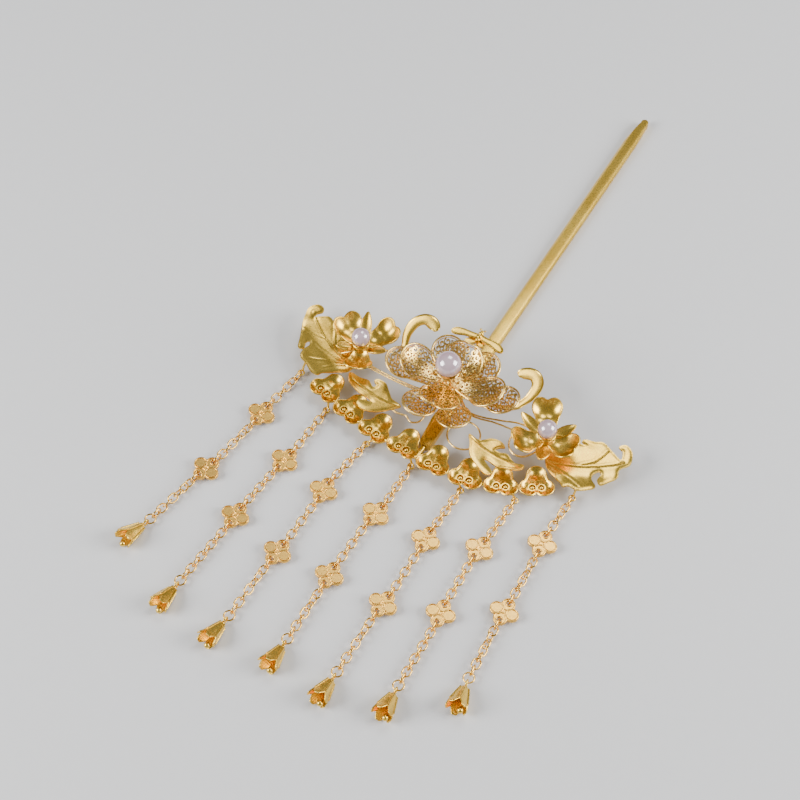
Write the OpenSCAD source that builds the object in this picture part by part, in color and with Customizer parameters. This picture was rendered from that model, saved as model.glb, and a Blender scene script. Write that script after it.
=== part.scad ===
// Lying hair stick with cloud cups, leaves, wire flowers, pearls, horns and seven hanging chains

/* [Stick] */
// full width of the stick
stick_w = 4; // [3.8:0.1:4.2]
// thickness of the stick
stick_t = 2.4; // [2.2:0.1:2.5]
// distance from the origin to the tip
stick_tip = 136.5; // [120:0.5:150]
// width of the bevel along each upper edge
stick_bevel = 0.8; // [0.5:0.1:1.1]

/* [Cloud cups] */
// radius of the round walls of a cup's lobes
lobe_r = 2.6; // [2.5:0.05:2.65]
// height of the cup rims
cup_rim = 3.8; // [3.6:0.1:3.9]
// wall of the cups
cup_wall = 0.45; // [0.4:0.05:0.6]
// mean radius of the volutes
volute_r = 0.75; // [0.65:0.05:0.85]

/* [Leaves] */
// length of the large leaves
leaf_len = 23.5; // [22:0.5:25]
// length of the small leaves
small_len = 18.4; // [17:0.2:19]
// thickness of the leaves
leaf_t = 0.6; // [0.5:0.05:0.7]
// width of the engraved veins
vein_w = 0.35; // [0.3:0.05:0.5]

/* [Main flower] */
// height of the underside of the outer petals
outer_z = 11.9; // [11.8:0.1:12.2]
// height of the underside of the inner petals
inner_z = 13.5; // [13.5:0.1:13.8]
// thickness of the pierced petals
petal_t = 0.7; // [0.6:0.05:0.8]
// width of the raised petal borders
border_w = 0.6; // [0.5:0.05:0.7]
// radius of the plate that carries the outer petals
outer_hub_r = 3.4; // [3.2:0.1:3.5]
// radius of the plate that carries the inner petals
inner_hub_r = 3; // [2.9:0.1:3.1]
// diameter of the centre pearl
pearl_d = 7.3; // [7:0.1:7.6]
// height of the middle of the centre pearl
pearl_z = 23; // [22.8:0.1:23.4]

/* [Side flowers] */
// diameter of the side pearls
side_pearl_d = 5.4; // [5.2:0.1:5.7]
// height of the middle of the side pearls
side_pearl_z = 14; // [13.8:0.1:14.4]
// height of the underside of the side flowers
side_z = 8.5; // [8.4:0.1:8.8]
// thickness of the side petals
side_t = 0.5; // [0.4:0.05:0.6]

/* [Horns and butterfly] */
// size of the horns
horn_h = 10.3; // [9.5:0.1:11]
// height of the horn undersides
horn_z = 10; // [9.9:0.05:10.2]
// half span of the butterfly
fly_span = 8.1; // [7:0.1:9]
// height of the butterfly
fly_z = 16.2; // [15.5:0.1:17]

/* [Chains] */
// outer length of one link
link_len = 3.5; // [3.4:0.05:3.6]
// outer width of one link
link_w = 2.7; // [2.6:0.05:2.75]
// wire of the links
link_wire = 0.5; // [0.45:0.05:0.55]
// largest distance from one link to the next
pitch_max = 2.38; // [2.2:0.02:2.4]
// mean radius of the ring on each bell
bell_ring_r = 1.45; // [1.35:0.05:1.5]

/* [Plaques] */
// distance of the plaque lobes from the middle
lobe_out = 2.25; // [2.15:0.05:2.35]
// radius of the plaque lobes
plaque_r = 1.9; // [1.8:0.05:2]
// thickness of the plaques
plaque_t = 1; // [0.9:0.05:1.05]
// distance of the link holes from the plaque middle
hole_out = 2.75; // [2.65:0.05:2.85]

/* [Bells] */
// length of the bells
bell_l = 7.1; // [6.8:0.1:7.5]
// mouth radius of the bells
bell_r = 3.2; // [3:0.1:3.4]
// neck radius of the bells
neck_r = 1.2; // [1.1:0.05:1.3]
// depth of the notches in the bells' mouths
notch_l = 2.3; // [2:0.1:2.6]
// wall of the bells
bell_wall = 0.4; // [0.35:0.05:0.5]

/* [Hidden] */
$fn = 48;
CHAINS = 7;
gold = [0.83, 0.66, 0.24];
warm_gold = [0.85, 0.58, 0.25];
pearl_white = [0.93, 0.88, 0.9];
gap = 0.2;
sink = 0.3;
wire_r = 0.28;
chain_z = 1.4;
flower_at = [0, 13];
left_at = [-29.5, 13.4];
right_at = [30.05, 13.1];
pearl_at = [-0.9, 12.5];
tongue_y = -2.2;
foot_l = 4.4;
cup_middle_z = 4.4;
leaf_z = 5;
small_z = 6;

// columns: x, y, turn of each cup
cups = [
  [-32.3, 0.1, -13],
  [-23, -2.6, -12],
  [-13.6, -4.5, -8],
  [-4.1, -4.9, 0],
  [5.6, -5.5, 4],
  [15.3, -4.9, 10],
  [24.6, -2, 21.5],
  [33.1, 2.5, 29]
];
// columns: x, y, radius added to each lobe of a cup, the last one fills the middle
cup_lobes = [
  [0, 2.4, 0.2],
  [-2.32, -1.6, 0],
  [2.32, -1.6, 0],
  [0, 0.4, 0.1]
];
// columns: eyelet x, y, strut end x, y, strut top (the first and last hang below the leaves)
eyelets = [
  [-42.5, 1.6, -42.3, 3.9, 4.3],
  [-29.6, -5.6, -30, -3.8, 2.9],
  [-14.2, -9.5, -12.75, -7.8, 2.9],
  [0.2, -9.4, -0.75, -8, 2.9],
  [15.8, -9.2, 14.65, -8.15, 2.9],
  [30.2, -4.4, 28.9, -3.6, 2.9],
  [43.3, 4.2, 43.5, 6.4, 4.6]
];
// lumps of solder between the cups: columns x, y, turn
bridges = [
  [-28, -2.83, -20],
  [-18.59, -5.2, -13],
  [-8.97, -6.45, -1],
  [0.81, -6.88, -8],
  [10.66, -6.91, 1],
  [20.45, -5.21, 19],
  [29.6, -1.33, 30]
];
// columns: first plaque x, y, second plaque x, y, bell ring x, y, aim of the bell, turns of the plaques
runs = [
  [-44.75, -15.8, -48.1, -38.75, -52.3, -59.7, -103.3, 4, -6],
  [-30.9, -25.5, -33, -47.1, -34.75, -71.1, -92.2, -5, 5],
  [-16.5, -28.2, -17.1, -50.8, -17.8, -73.2, -95.1, 6, -4],
  [-0.4, -27.3, -1.4, -49.7, -1, -71.1, -89.5, -9, 3],
  [15.3, -27.3, 15.3, -49.8, 15.1, -72.5, -90, 3, -5],
  [29.2, -22.5, 29.8, -44.4, 30.7, -67.75, -85.6, -4, 6],
  [43, -12.5, 44, -35.5, 45.25, -56.7, -80.5, 5, -3]
];
// columns: direction, length, bowl radius, bowl middle as a share of the length
outer_petals = [
  [184, 20, 30, 0.3],
  [124, 15.4, 21, 0.3],
  [60, 15.2, 21, 0.3],
  [8, 20, 30, 0.3],
  [-57, 15.8, 22, 0.3],
  [-113, 16, 22, 0.3]
];
outer_half = 4.95;
// columns: direction, length, half width, bowl radius, bowl middle as a share of the length, end's roundness
inner_petals = [
  [6, 15.6, 5.4, 15, 0.3, 0.92],
  [93, 11.6, 5.9, 14, 0.1, 0.84],
  [179, 15.7, 5.3, 15, 0.3, 0.92],
  [-91, 10.6, 5.9, 16, 0.2, 0.62]
];
// columns: direction, length, half width, bowl radius, bowl middle as a share of the length
left_petals = [
  [60, 11.4, 4, 9, 0.42],
  [150, 10.4, 4.2, 8, 0.42],
  [-66, 9, 3.9, 7, 0.42]
];
right_petals = [
  [117, 11.4, 4.1, 9, 0.42],
  [222, 9.5, 4.1, 7.5, 0.42],
  [-1, 8.9, 4.3, 7.5, 0.42]
];
// columns: direction, length, half width
left_sepals = [
  [109, 10.4, 1.6],
  [12, 7.6, 1.4],
  [212, 7.2, 1.4]
];
right_sepals = [
  [165, 9.7, 1.6],
  [50, 8.8, 1.5],
  [-74, 8.2, 1.9]
];
// columns: share of the leaf length along the midrib, share across it
leaf_right_edge = [
  [0.01, -0.05], [0.12, -0.235], [0.182, -0.3], [0.216, -0.345], [0.285, -0.334], [0.384, -0.375],
  [0.51, -0.363], [0.593, -0.324], [0.546, -0.247], [0.564, -0.175], [0.639, -0.135], [0.655, -0.185],
  [0.612, -0.25], [0.65, -0.31], [0.743, -0.267], [0.839, -0.21], [0.873, -0.088], [0.996, -0.008],
  [1.023, 0.147], [0.955, 0.249], [0.867, 0.218], [0.912, 0.156], [0.888, 0.043], [0.795, 0.144],
  [0.691, 0.269], [0.59, 0.278], [0.48, 0.306], [0.437, 0.28], [0.471, 0.228], [0.41, 0.25],
  [0.385, 0.365], [0.297, 0.381], [0.08, 0.25]
];
leaf_left_edge = [
  [-0.05, -0.066], [0.018, -0.227], [0.117, -0.358], [0.139, -0.426], [0.232, -0.459], [0.36, -0.448],
  [0.481, -0.453], [0.535, -0.375], [0.533, -0.294], [0.577, -0.264], [0.594, -0.308], [0.55, -0.37],
  [0.608, -0.408], [0.703, -0.323], [0.84, -0.203], [0.918, -0.124], [1.008, -0.004], [0.993, 0.108],
  [0.918, 0.146], [0.863, 0.103], [0.877, 0.029], [0.85, -0.03], [0.813, 0.052], [0.74, 0.141],
  [0.536, 0.141], [0.366, 0.274], [0.08, 0.17]
];
small_left_edge = [
  [0.02, 0.009], [0.197, 0.042], [0.322, 0.13], [0.44, 0.218], [0.573, 0.214], [0.611, 0.153],
  [0.54, 0.105], [0.568, 0.049], [0.684, 0.102], [0.824, 0.072], [1.005, 0.055], [0.945, -0.056],
  [0.835, -0.112], [0.676, -0.152], [0.516, -0.153], [0.44, -0.186], [0.576, -0.23], [0.618, -0.307],
  [0.491, -0.356], [0.278, -0.28], [0.115, -0.127]
];
small_right_edge = [
  [0.01, 0.012], [0.193, 0.014], [0.341, 0.149], [0.484, 0.185], [0.581, 0.135], [0.522, 0.085],
  [0.486, 0.015], [0.572, 0.015], [0.676, 0.053], [0.843, 0], [0.98, 0.041], [0.978, -0.046],
  [0.83, -0.136], [0.675, -0.201], [0.512, -0.196], [0.45, -0.222], [0.618, -0.292], [0.672, -0.336],
  [0.587, -0.399], [0.392, -0.344], [0.222, -0.264], [0.096, -0.093]
];
// columns: share of the leaf length across it, share of height above the leaf base
leaf_bend = [
  [-0.56, -0.07], [-0.36, -0.03], [-0.2, 0.012], [0, 0], [0.2, -0.005], [0.5, -0.03]
];
small_bend = [
  [-0.5, -0.03], [-0.2, 0], [0, 0.012], [0.15, 0.012], [0.4, -0.02]
];
// veins of the large leaves: columns as the edges
leaf_veins = [
  [[0.03, -0.02], [0.3, -0.07], [0.55, -0.07], [0.8, -0.03], [0.93, 0.015]],
  [[0.43, -0.05], [0.58, 0], [0.68, 0.08], [0.74, 0.15]],
  [[0.04, -0.04], [0.22, -0.17], [0.41, -0.32]]
];
small_veins = [
  [[0.05, 0], [0.35, -0.06], [0.65, -0.05], [0.93, -0.01]]
];
// horn: columns are shares of the horn size across and up, and of the band width
horn_line = [
  [-0.62, -0.42, 0.3], [-0.3, -0.32, 0.45], [-0.06, -0.14, 0.5], [0, 0, 0.55], [0.1, 0.27, 0.7],
  [0.125, 0.56, 0.85], [0.08, 0.79, 0.95], [-0.05, 0.95, 1.05], [-0.2, 0.99, 1.12], [-0.34, 0.94, 1.1],
  [-0.45, 0.86, 0.9], [-0.51, 0.79, 0.45]
];
horn_band = 3.6;
horn_left_at = [-18.9, 20];
horn_right_at = [19.1, 18.6];
// wires: every row is a route of x, y, z
wires = [
  [[-29.5, 12.4, 7.9], [-27.3, 10.3, 7.9], [-20, 9.8, 7.9], [-10, 9.9, 8.2], [0, 11.8, 8.8]],
  [[-29.5, 11.6, 7.9], [-27.1, 9.6, 7.9], [-20, 9.1, 7.9], [-10, 9.2, 8.2], [0, 11.2, 8.8]],
  [[0, 11.8, 8.8], [6, 10.4, 8.1], [11, 10.9, 7.9], [16.5, 12.7, 7.9], [22, 14.5, 7.9], [29.5, 13.8, 7.9]],
  [[0, 11.2, 8.8], [8.5, 9.9, 7.9], [15, 11.1, 7.9], [21.6, 11.7, 7.9], [29.3, 12.6, 7.9]],
  [[22.6, 11.8, 7.9], [21.2, 9.5, 7.9], [21.8, 6.8, 7.9], [23.3, 5.3, 7.9], [25.3, 4.8, 7.9],
    [27.3, 5.6, 7.9], [29, 8, 7.9], [30, 11.6, 7.9]],
  [[0, 12, 6.5], [3.6, 9.8, 5.6], [5.75, 7.75, 5.5]],
  [[0, 12, 6.5], [-3, 9.5, 5.6], [-3.5, 5.4, 5.5], [-3.5, 3.4, 5.5], [-4.2, 1.7, 5.5], [-6, 0.8, 5.5],
    [-8, 1.9, 5.5], [-9.4, 1.7, 5.5], [-11.5, 1.6, 5.5], [-14.5, 2.3, 5.5]],
  [[0, 12.8, 9.5], [-8, 15.2, 9.4], [-14.5, 16, 9.4], [-21.5, 16.2, 9.2], [-26, 15.2, 8.2], [-30, 13.6, 7.9]],
  [[0, 12.8, 9.5], [8, 14.6, 9.4], [14.5, 15.6, 9.4]],
  [[-30.5, 13, 7.9], [-32.4, 11.4, 7], [-34.2, 10.6, 6.15]],
  [[30.5, 13, 7.9], [33, 12.6, 7], [35, 12.2, 6.15]]
];

function spline(a, b, c, d, t) =
  ((2 * b) + (c - a) * t + (2 * a - 5 * b + 4 * c - d) * t * t + (3 * b - a - 3 * c + d) * t * t * t) / 2;
function loop_at(list, i) = list[(i + len(list)) % len(list)];
function smooth_loop(list, steps) = [
  for (i = [0:len(list) - 1])
    for (k = [0:steps - 1])
      spline(loop_at(list, i - 1), list[i], loop_at(list, i + 1), loop_at(list, i + 2), k / steps)
];
function end_at(list, i) = list[min(max(i, 0), len(list) - 1)];
function smooth_line(list, steps) = concat(
  [
    for (i = [0:len(list) - 2])
      for (k = [0:steps - 1])
        spline(end_at(list, i - 1), list[i], list[i + 1], end_at(list, i + 2), k / steps)
  ],
  [list[len(list) - 1]]
);
function heading(list, i) = end_at(list, i + 1) - end_at(list, i - 1);
function unit(v) = v / norm(v);
function side_of(v) = unit([v.y, -v.x, 0]);
function sweep_faces(rows, n) = concat(
  [[for (k = [n - 1:-1:0]) k]],
  [
    for (i = [0:rows - 2])
      for (k = [0:n - 1])
        [i * n + k, i * n + (k + 1) % n, (i + 1) * n + (k + 1) % n, (i + 1) * n + k]
  ],
  [[for (k = [0:n - 1]) (rows - 1) * n + k]]
);

module wire(route, r, steps) {
  line = smooth_line(route, steps);
  n = 6;
  points = [
    for (i = [0:len(line) - 1])
      let (v = unit(heading(line, i)), s = side_of(v), u = cross(s, v))
        for (k = [0:n - 1])
          line[i] + r * (s * cos(360 * k / n) + u * sin(360 * k / n))
  ];
  polyhedron(points, sweep_faces(len(line), n), convexity = 8);
}

module rod(a, b, r) {
  v = b - a;
  translate(a)
    rotate([0, acos(v.z / norm(v)), atan2(v.y, v.x)])
      cylinder(r = r, h = norm(v));
}

module torus(mean_r, wire) {
  rotate_extrude()
    translate([mean_r, 0])
      circle(r = wire);
}

module hair_stick() {
  edge = stick_w / 2;
  undercut = 0.5;
  tongue_top = 9;
  color(gold) {
    translate([-0.25, 0, 0])
      intersection() {
        translate([0, stick_tip, 0])
          rotate([90, 0, 0])
            linear_extrude(stick_tip - tongue_top + sink)
              polygon([
                [undercut - edge, 0], [edge - undercut, 0], [edge, 0.7], [edge, stick_t - stick_bevel],
                [edge - stick_bevel, stick_t], [stick_bevel - edge, stick_t], [-edge, stick_t - stick_bevel],
                [-edge, 0.7]
              ]);
        linear_extrude(stick_t) {
          translate([-edge, 0])
            square([stick_w, stick_tip - 10]);
          polygon([
            [-edge, stick_tip - 10.1], [edge, stick_tip - 10.1],
            [1.4, stick_tip - 1.2], [-0.6, stick_tip - 1.2]
          ]);
          translate([0.4, stick_tip - 1.3])
            circle(r = 1.1);
        }
      }
    difference() {
      linear_extrude(stick_t)
        polygon([
          [-2.5, tongue_top], [-2.5, 7], [-1.8, 0], [-1.5, -1.5], [-0.8, tongue_y], [1, tongue_y],
          [1.8, -1.3], [1.9, 1], [1.9, tongue_top]
        ]);
      translate([0, 0, stick_t - 0.8])
        linear_extrude(2)
          polygon([
            [-1.9, tongue_top - 0.6], [-1.4, 1.9], [-0.6, 0.8],
            [0.5, 0.6], [1, 1.4], [1.2, tongue_top - 0.6]
          ]);
    }
  }
}

module wire_frame() {
  plate_z = side_z - gap - 0.7;
  color(warm_gold) {
    translate([flower_at.x, flower_at.y - 0.2, stick_t + gap])
      cylinder(r = 2.1, h = 1);
    translate([flower_at.x, flower_at.y - 0.2, stick_t + gap])
      cylinder(r = 1.6, h = outer_z - 2 * gap - stick_t);
    for (at = [left_at, right_at])
      translate([at.x, at.y, plate_z])
        cylinder(r = 2, h = 0.7);
    translate([9, 4.5, 5.5])
      torus(4.6, wire_r);
    for (route = wires)
      wire(route, wire_r, 3);
  }
}

module cup() {
  difference() {
    union()
      for (p = cup_lobes)
        translate([p.x, p.y, cup_middle_z])
          sphere(r = lobe_r + p.z);
    for (p = cup_lobes)
      translate([p.x, p.y, cup_middle_z])
        sphere(r = lobe_r + p.z - cup_wall);
    translate([-10, -10, cup_rim])
      cube([20, 20, 10]);
  }
  for (s = [-1, 1])
    translate([s * (volute_r + 0.35), -2, cup_rim - 0.15])
      torus(volute_r, wire_r);
  translate([-0.5, -2.8, cup_rim - 1.2])
    cube([1, 0.9, 1.1]);
}

module eyelet(p) {
  ring_r = 0.8;
  translate([p[0], p[1], chain_z])
    torus(ring_r, wire_r);
  rod([p[0], p[1] + ring_r - 0.1, chain_z], [p[2], p[3], p[4]], wire_r + 0.05);
}

module cloud_cups() {
  color(gold) {
    for (c = cups)
      translate([c[0], c[1], 0])
        rotate([0, 0, c[2]])
          cup();
    for (i = [1:5])
      eyelet(eyelets[i]);
    for (b = bridges)
      translate([b[0], b[1], cup_rim - 0.85])
        rotate([0, 0, b[2]])
          cube([1.5, 1.2, 1.1], center = true);
    translate([-0.9, tongue_y - gap - foot_l, 0.6])
      cube([2, foot_l, 1.9]);
  }
}

module leaf_slab(bend, size, low, high) {
  rotate([90, 0, 90])
    linear_extrude(size * 1.3, center = false)
      polygon(concat(
        [for (b = bend) [b.x * size, b.y * size + low]],
        [for (i = [len(bend) - 1:-1:0]) [bend[i].x * size, bend[i].y * size + high]]
      ));
}

module vein(route, size) {
  line = smooth_line(route * size, 3);
  linear_extrude(20, center = true)
    polygon(concat(
      [for (i = [0:len(line) - 1]) let (v = unit(heading(line, i))) line[i] + [-v.y, v.x] * vein_w / 2],
      [for (i = [len(line) - 1:-1:0]) let (v = unit(heading(line, i))) line[i] - [-v.y, v.x] * vein_w / 2]
    ));
}

module leaf(edge, bend, veins, size) {
  difference() {
    intersection() {
      linear_extrude(20, center = true)
        polygon(smooth_loop(edge * size, 3));
      translate([-0.1 * size, 0, 0])
        leaf_slab(bend, size, 0, leaf_t);
    }
    for (route = veins)
      intersection() {
        vein(route, size);
        translate([-0.1 * size, 0, 0])
          leaf_slab(bend, size, leaf_t * 0.6, leaf_t * 3);
      }
  }
}

module leaf_left() {
  color(gold) {
    translate([-29.7, 8.96, leaf_z])
      rotate([0, 0, 153.1])
        mirror([0, 1, 0])
          leaf(leaf_left_edge, leaf_bend, leaf_veins, leaf_len);
    eyelet(eyelets[0]);
  }
}

module leaf_right() {
  color(gold) {
    translate([32, 8.96, leaf_z])
      rotate([0, 0, 27.2])
        leaf(leaf_right_edge, leaf_bend, leaf_veins, leaf_len);
    eyelet(eyelets[6]);
  }
}

module small_leaf_left() {
  color(gold)
    translate([-10.18, 2.9, small_z])
      rotate([0, 0, 174.6])
        mirror([0, 1, 0])
          leaf(small_left_edge, small_bend, small_veins, small_len);
}

module small_leaf_right() {
  color(gold)
    translate([10.22, 4.7, small_z])
      rotate([0, 0, -5.9])
        leaf(small_right_edge, small_bend, small_veins, small_len);
}

module petal_plan(length, half, round_r, inset) {
  reach = length - round_r;
  off = half - round_r;
  neck = 1.9 - inset;
  r = round_r - inset;
  translate([reach, off])
    circle(r = r);
  if (off > 0)
    translate([reach, -off])
      circle(r = r);
  polygon([
    [1.5, -neck], [reach - 0.35 * r, -off - 0.82 * r], [reach, -off], [reach, off],
    [reach - 0.35 * r, off + 0.82 * r], [1.5, neck]
  ]);
}

module bowl(radius, at, thick) {
  translate([at, 0, radius])
    rotate([0, -90, 0])
      difference() {
        sphere(r = radius);
        sphere(r = radius - thick);
      }
}

module wired_petal(length, half, round_r, radius, share, holes) {
  at = length * share;
  high = radius * 0.8;
  lift = 0.12;
  difference() {
    intersection() {
      translate([0, 0, -1])
        linear_extrude(high)
          petal_plan(length, half, round_r, lift);
      bowl(radius, at, petal_t);
    }
    for (h = holes)
      translate([h[0], h[1], -1])
        cylinder(r = h[2], h = high + 2, $fn = 24);
  }
  intersection() {
    translate([0, 0, -1])
      linear_extrude(high)
        difference() {
          petal_plan(length, half, round_r, 0);
          petal_plan(length, half, round_r, border_w);
        }
    translate([0, 0, -lift])
      bowl(radius + 0.01, at, petal_t + lift * 2);
  }
}

// openings of a petal: columns x, y, radius
function round_holes(length, round_r) =
  let (ring = round_r - 2, mid = length - round_r, low = mid - round_r + 0.5)
    concat(
      [[mid, 0, 1]],
      [for (k = [0:6]) [mid + ring * cos(k * 360 / 7), ring * sin(k * 360 / 7), 0.85]],
      [[low, 1, 0.65], [low, -1, 0.65], [low - 1.6, 0, 0.6]]
    );
function heart_holes(reach, off) =
  let (ring = 1.75)
    concat(
      [
        for (s = [-1, 1])
          for (a = [-45:60:135])
            [reach + ring * cos(a), s * (off + 0.1 + ring * sin(a)), 0.65]
      ],
      [for (s = [-1, 1]) [reach - 1.6, s, 0.65]],
      [for (s = [-1, 1]) [reach - 3.4, s, 0.6]]
    );

module flower_outer() {
  color(warm_gold)
    translate([flower_at.x, flower_at.y, outer_z]) {
      cylinder(r = outer_hub_r, h = 1);
      for (p = outer_petals)
        rotate([0, 0, p[0]])
          wired_petal(p[1], outer_half, outer_half, p[2], p[3], round_holes(p[1], outer_half));
    }
}

module flower_inner() {
  color(warm_gold)
    translate([flower_at.x, flower_at.y, inner_z]) {
      cylinder(r = inner_hub_r, h = 0.9);
      for (p = inner_petals) {
        round_r = p[2] * p[5];
        holes = p[5] > 0.8 ? round_holes(p[1], round_r) : heart_holes(p[1] - round_r, p[2] - round_r);
        rotate([0, 0, p[0]])
          wired_petal(p[1], p[2], round_r, p[3], p[4], holes);
      }
    }
}

module pearl_seat() {
  seat_r = pearl_d / 2 + gap + 0.05;
  foot = inner_z + 1.25 + gap;
  color(warm_gold)
    translate([pearl_at.x, pearl_at.y, 0]) {
      translate([0, 0, foot])
        cylinder(r = 1.1, h = pearl_z - seat_r - foot - 0.1);
      translate([0, 0, pearl_z])
        difference() {
          sphere(r = seat_r + 0.5);
          sphere(r = seat_r);
          translate([-10, -10, -2.7])
            cube([20, 20, 20]);
        }
      for (k = [0:5])
        translate([0, 0, pearl_z - 3.6])
          rotate([0, 0, 60 * k + 20])
            translate([3.9, 0, 0])
              rotate([90, 0, 0])
                torus(1, wire_r);
    }
}

module pearl_center() {
  color(pearl_white)
    translate([pearl_at.x, pearl_at.y, pearl_z])
      sphere(d = pearl_d);
}

module lens(length, half) {
  start = 1.2;
  middle = (length + start) / 2;
  run = (length - start) / 2;
  r = (run * run + half * half) / (2 * half);
  translate([middle, 0])
    intersection() {
      translate([0, r - half])
        circle(r = r);
      translate([0, half - r])
        circle(r = r);
    }
}

module orchid(petals, sepals) {
  pearl_foot = side_pearl_z - side_pearl_d / 2 - gap - side_z;
  cylinder(r = 2.3, h = 1);
  cylinder(r = 1.2, h = pearl_foot);
  for (p = petals)
    rotate([0, 0, p[0]])
      intersection() {
        translate([0, 0, -1])
          linear_extrude(p[3] * 0.8)
            petal_plan(p[1], p[2], p[2] * 0.62, 0);
        bowl(p[3], p[1] * p[4], side_t);
      }
  for (p = sepals)
    rotate([0, 0, p[0]])
      intersection() {
        translate([0, 0, -1])
          linear_extrude(8)
            lens(p[1], p[2]);
        bowl(16, 0, side_t);
      }
}

module orchid_left() {
  color(gold)
    translate([left_at.x, left_at.y, side_z])
      orchid(left_petals, left_sepals);
}

module orchid_right() {
  color(gold)
    translate([right_at.x, right_at.y, side_z])
      orchid(right_petals, right_sepals);
}

module pearl_left() {
  color(pearl_white)
    translate([left_at.x, left_at.y, side_pearl_z])
      sphere(d = side_pearl_d);
}

module pearl_right() {
  color(pearl_white)
    translate([right_at.x, right_at.y, side_pearl_z])
      sphere(d = side_pearl_d);
}

module horn() {
  line = smooth_line(horn_line, 2);
  // columns: share across the band, height
  band = [
    [-0.6, 0.1], [0, 0], [0.6, 0.1], [1, 0.55], [0.8, 0.85],
    [0.4, 0.4], [0, 0.3], [-0.4, 0.4], [-0.8, 0.85], [-1, 0.55]
  ];
  points = [
    for (i = [0:len(line) - 1])
      let (v = heading(line, i), s = unit([v.y, -v.x]))
        for (b = band)
          [
            line[i].x * horn_h + s.x * b.x * line[i].z * horn_band / 2,
            line[i].y * horn_h + s.y * b.x * line[i].z * horn_band / 2,
            b.y
          ]
  ];
  polyhedron(points, sweep_faces(len(line), len(band)), convexity = 8);
}

module horn_right() {
  color(gold)
    translate([horn_right_at.x, horn_right_at.y, horn_z])
      horn();
}

module horn_left() {
  color(gold)
    translate([horn_left_at.x, horn_left_at.y, horn_z])
      mirror([1, 0, 0])
        horn();
}

module wing(outline, height) {
  line = smooth_loop(outline * fly_span, 2);
  middle = [for (i = [0, 1]) [for (p = line) p[i]] * [for (p = line) 1] / len(line)];
  difference() {
    linear_extrude(height)
      polygon(line);
    translate([0, 0, height / 2])
      linear_extrude(height)
        polygon([for (p = line) middle + (p - middle) * 0.62]);
  }
}

module butterfly() {
  // columns: shares of the half span across and along
  upper = [
    [0.03, -0.08], [0.25, -0.13], [0.5, -0.13], [0.8, -0.2], [0.97, -0.17],
    [1, -0.06], [0.9, 0.06], [0.7, 0.12], [0.3, 0.1], [0.03, 0.08]
  ];
  lower = [
    [0, -0.05], [-0.12, -0.08], [-0.36, -0.2], [-0.4, -0.34],
    [-0.28, -0.42], [-0.1, -0.36], [0.03, -0.2]
  ];
  stem_r = 0.35;
  // route of the stem below the body
  fly_stem = [[0, -0.4, 0.2], [0, -1.9, -2.6], [0, -3.4, -5.1], [0, -6, -5.8], [0, -14, -5.9]];
  color(gold)
    translate([0, 28.8, fly_z]) {
      rotate([0, 0, -4])
        wing(upper, 0.8);
      rotate([0, 0, 8])
        mirror([1, 0, 0])
          wing(upper, 0.8);
      translate([0, 0, -0.6])
        wing(lower, 0.8);
      translate([0, 0, -0.6])
        mirror([1, 0, 0])
          wing(lower * 0.8, 0.8);
      translate([0, -1.6, 0.4])
        rotate([-90, 0, 0])
          rotate_extrude()
            polygon([
              [0, 0], [0.55, 0.2], [0.85, 0.9], [0.7, 1.5],
              [0.9, 2.1], [0.65, 2.7], [0.6, 3.1], [0, 3.5]
            ]);
      wire(fly_stem, stem_r, 3);
    }
}

module link(p, aim, roll) {
  bow = (link_w - link_wire) / 2;
  straight = link_len - link_w;
  translate([p.x, p.y, chain_z])
    rotate([0, 0, aim])
      rotate([roll, 0, 0])
        for (turn = [0, 180])
          rotate([0, 0, turn]) {
            translate([straight / 2, 0, 0])
              rotate([0, 0, -90])
                rotate_extrude(angle = 180)
                  translate([bow, 0])
                    circle(d = link_wire);
            translate([-straight / 2, bow, 0])
              rotate([0, 90, 0])
                cylinder(d = link_wire, h = straight);
          }
}

module chain_run(a, b, lead_a, lead_b) {
  v = b - a;
  span = norm(v) - lead_a - lead_b;
  count = ceil(span / pitch_max) + 1;
  roll_step = 180 * round((count - 1) / 2) / (count - 1);
  for (k = [0:count - 1])
    link(a + v / norm(v) * (lead_a + span * k / (count - 1)), atan2(v.y, v.x), 90 + k * roll_step);
}

function eye_xy(i) = [eyelets[i][0], eyelets[i][1]];
function plaque_xy(i, k) = [runs[i][2 * k], runs[i][2 * k + 1]];
function ring_xy(i) = [runs[i][4], runs[i][5]];
bell_reach = bell_ring_r + 1.65;
bell_tilt = atan((bell_r - neck_r) / bell_l);
function plaque_turn(i, k) =
  let (v = k == 0 ? plaque_xy(i, 1) - eye_xy(i) : ring_xy(i) - plaque_xy(i, 0))
    atan2(v.y, v.x) + runs[i][7 + k];
function plaque_hole(i, k, end) =
  plaque_xy(i, k) + end * hole_out * [cos(plaque_turn(i, k)), sin(plaque_turn(i, k))];

module chain(i) {
  lead = (link_len - link_wire) / 2;
  ring_lead = bell_ring_r - wire_r - link_wire / 2 - 0.12 + lead;
  color(warm_gold) {
    chain_run(eye_xy(i), plaque_hole(i, 0, -1), lead, lead);
    chain_run(plaque_hole(i, 0, 1), plaque_hole(i, 1, -1), lead, lead);
    chain_run(plaque_hole(i, 1, 1), ring_xy(i), lead, ring_lead);
    translate([ring_xy(i).x, ring_xy(i).y, chain_z])
      torus(bell_ring_r, link_wire / 2);
  }
}

module plaque_plan(inset) {
  for (turn = [0:90:270])
    rotate([0, 0, turn])
      translate([lobe_out, 0])
        circle(r = plaque_r - inset);
  square(lobe_out * 2 - inset, center = true);
}

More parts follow.
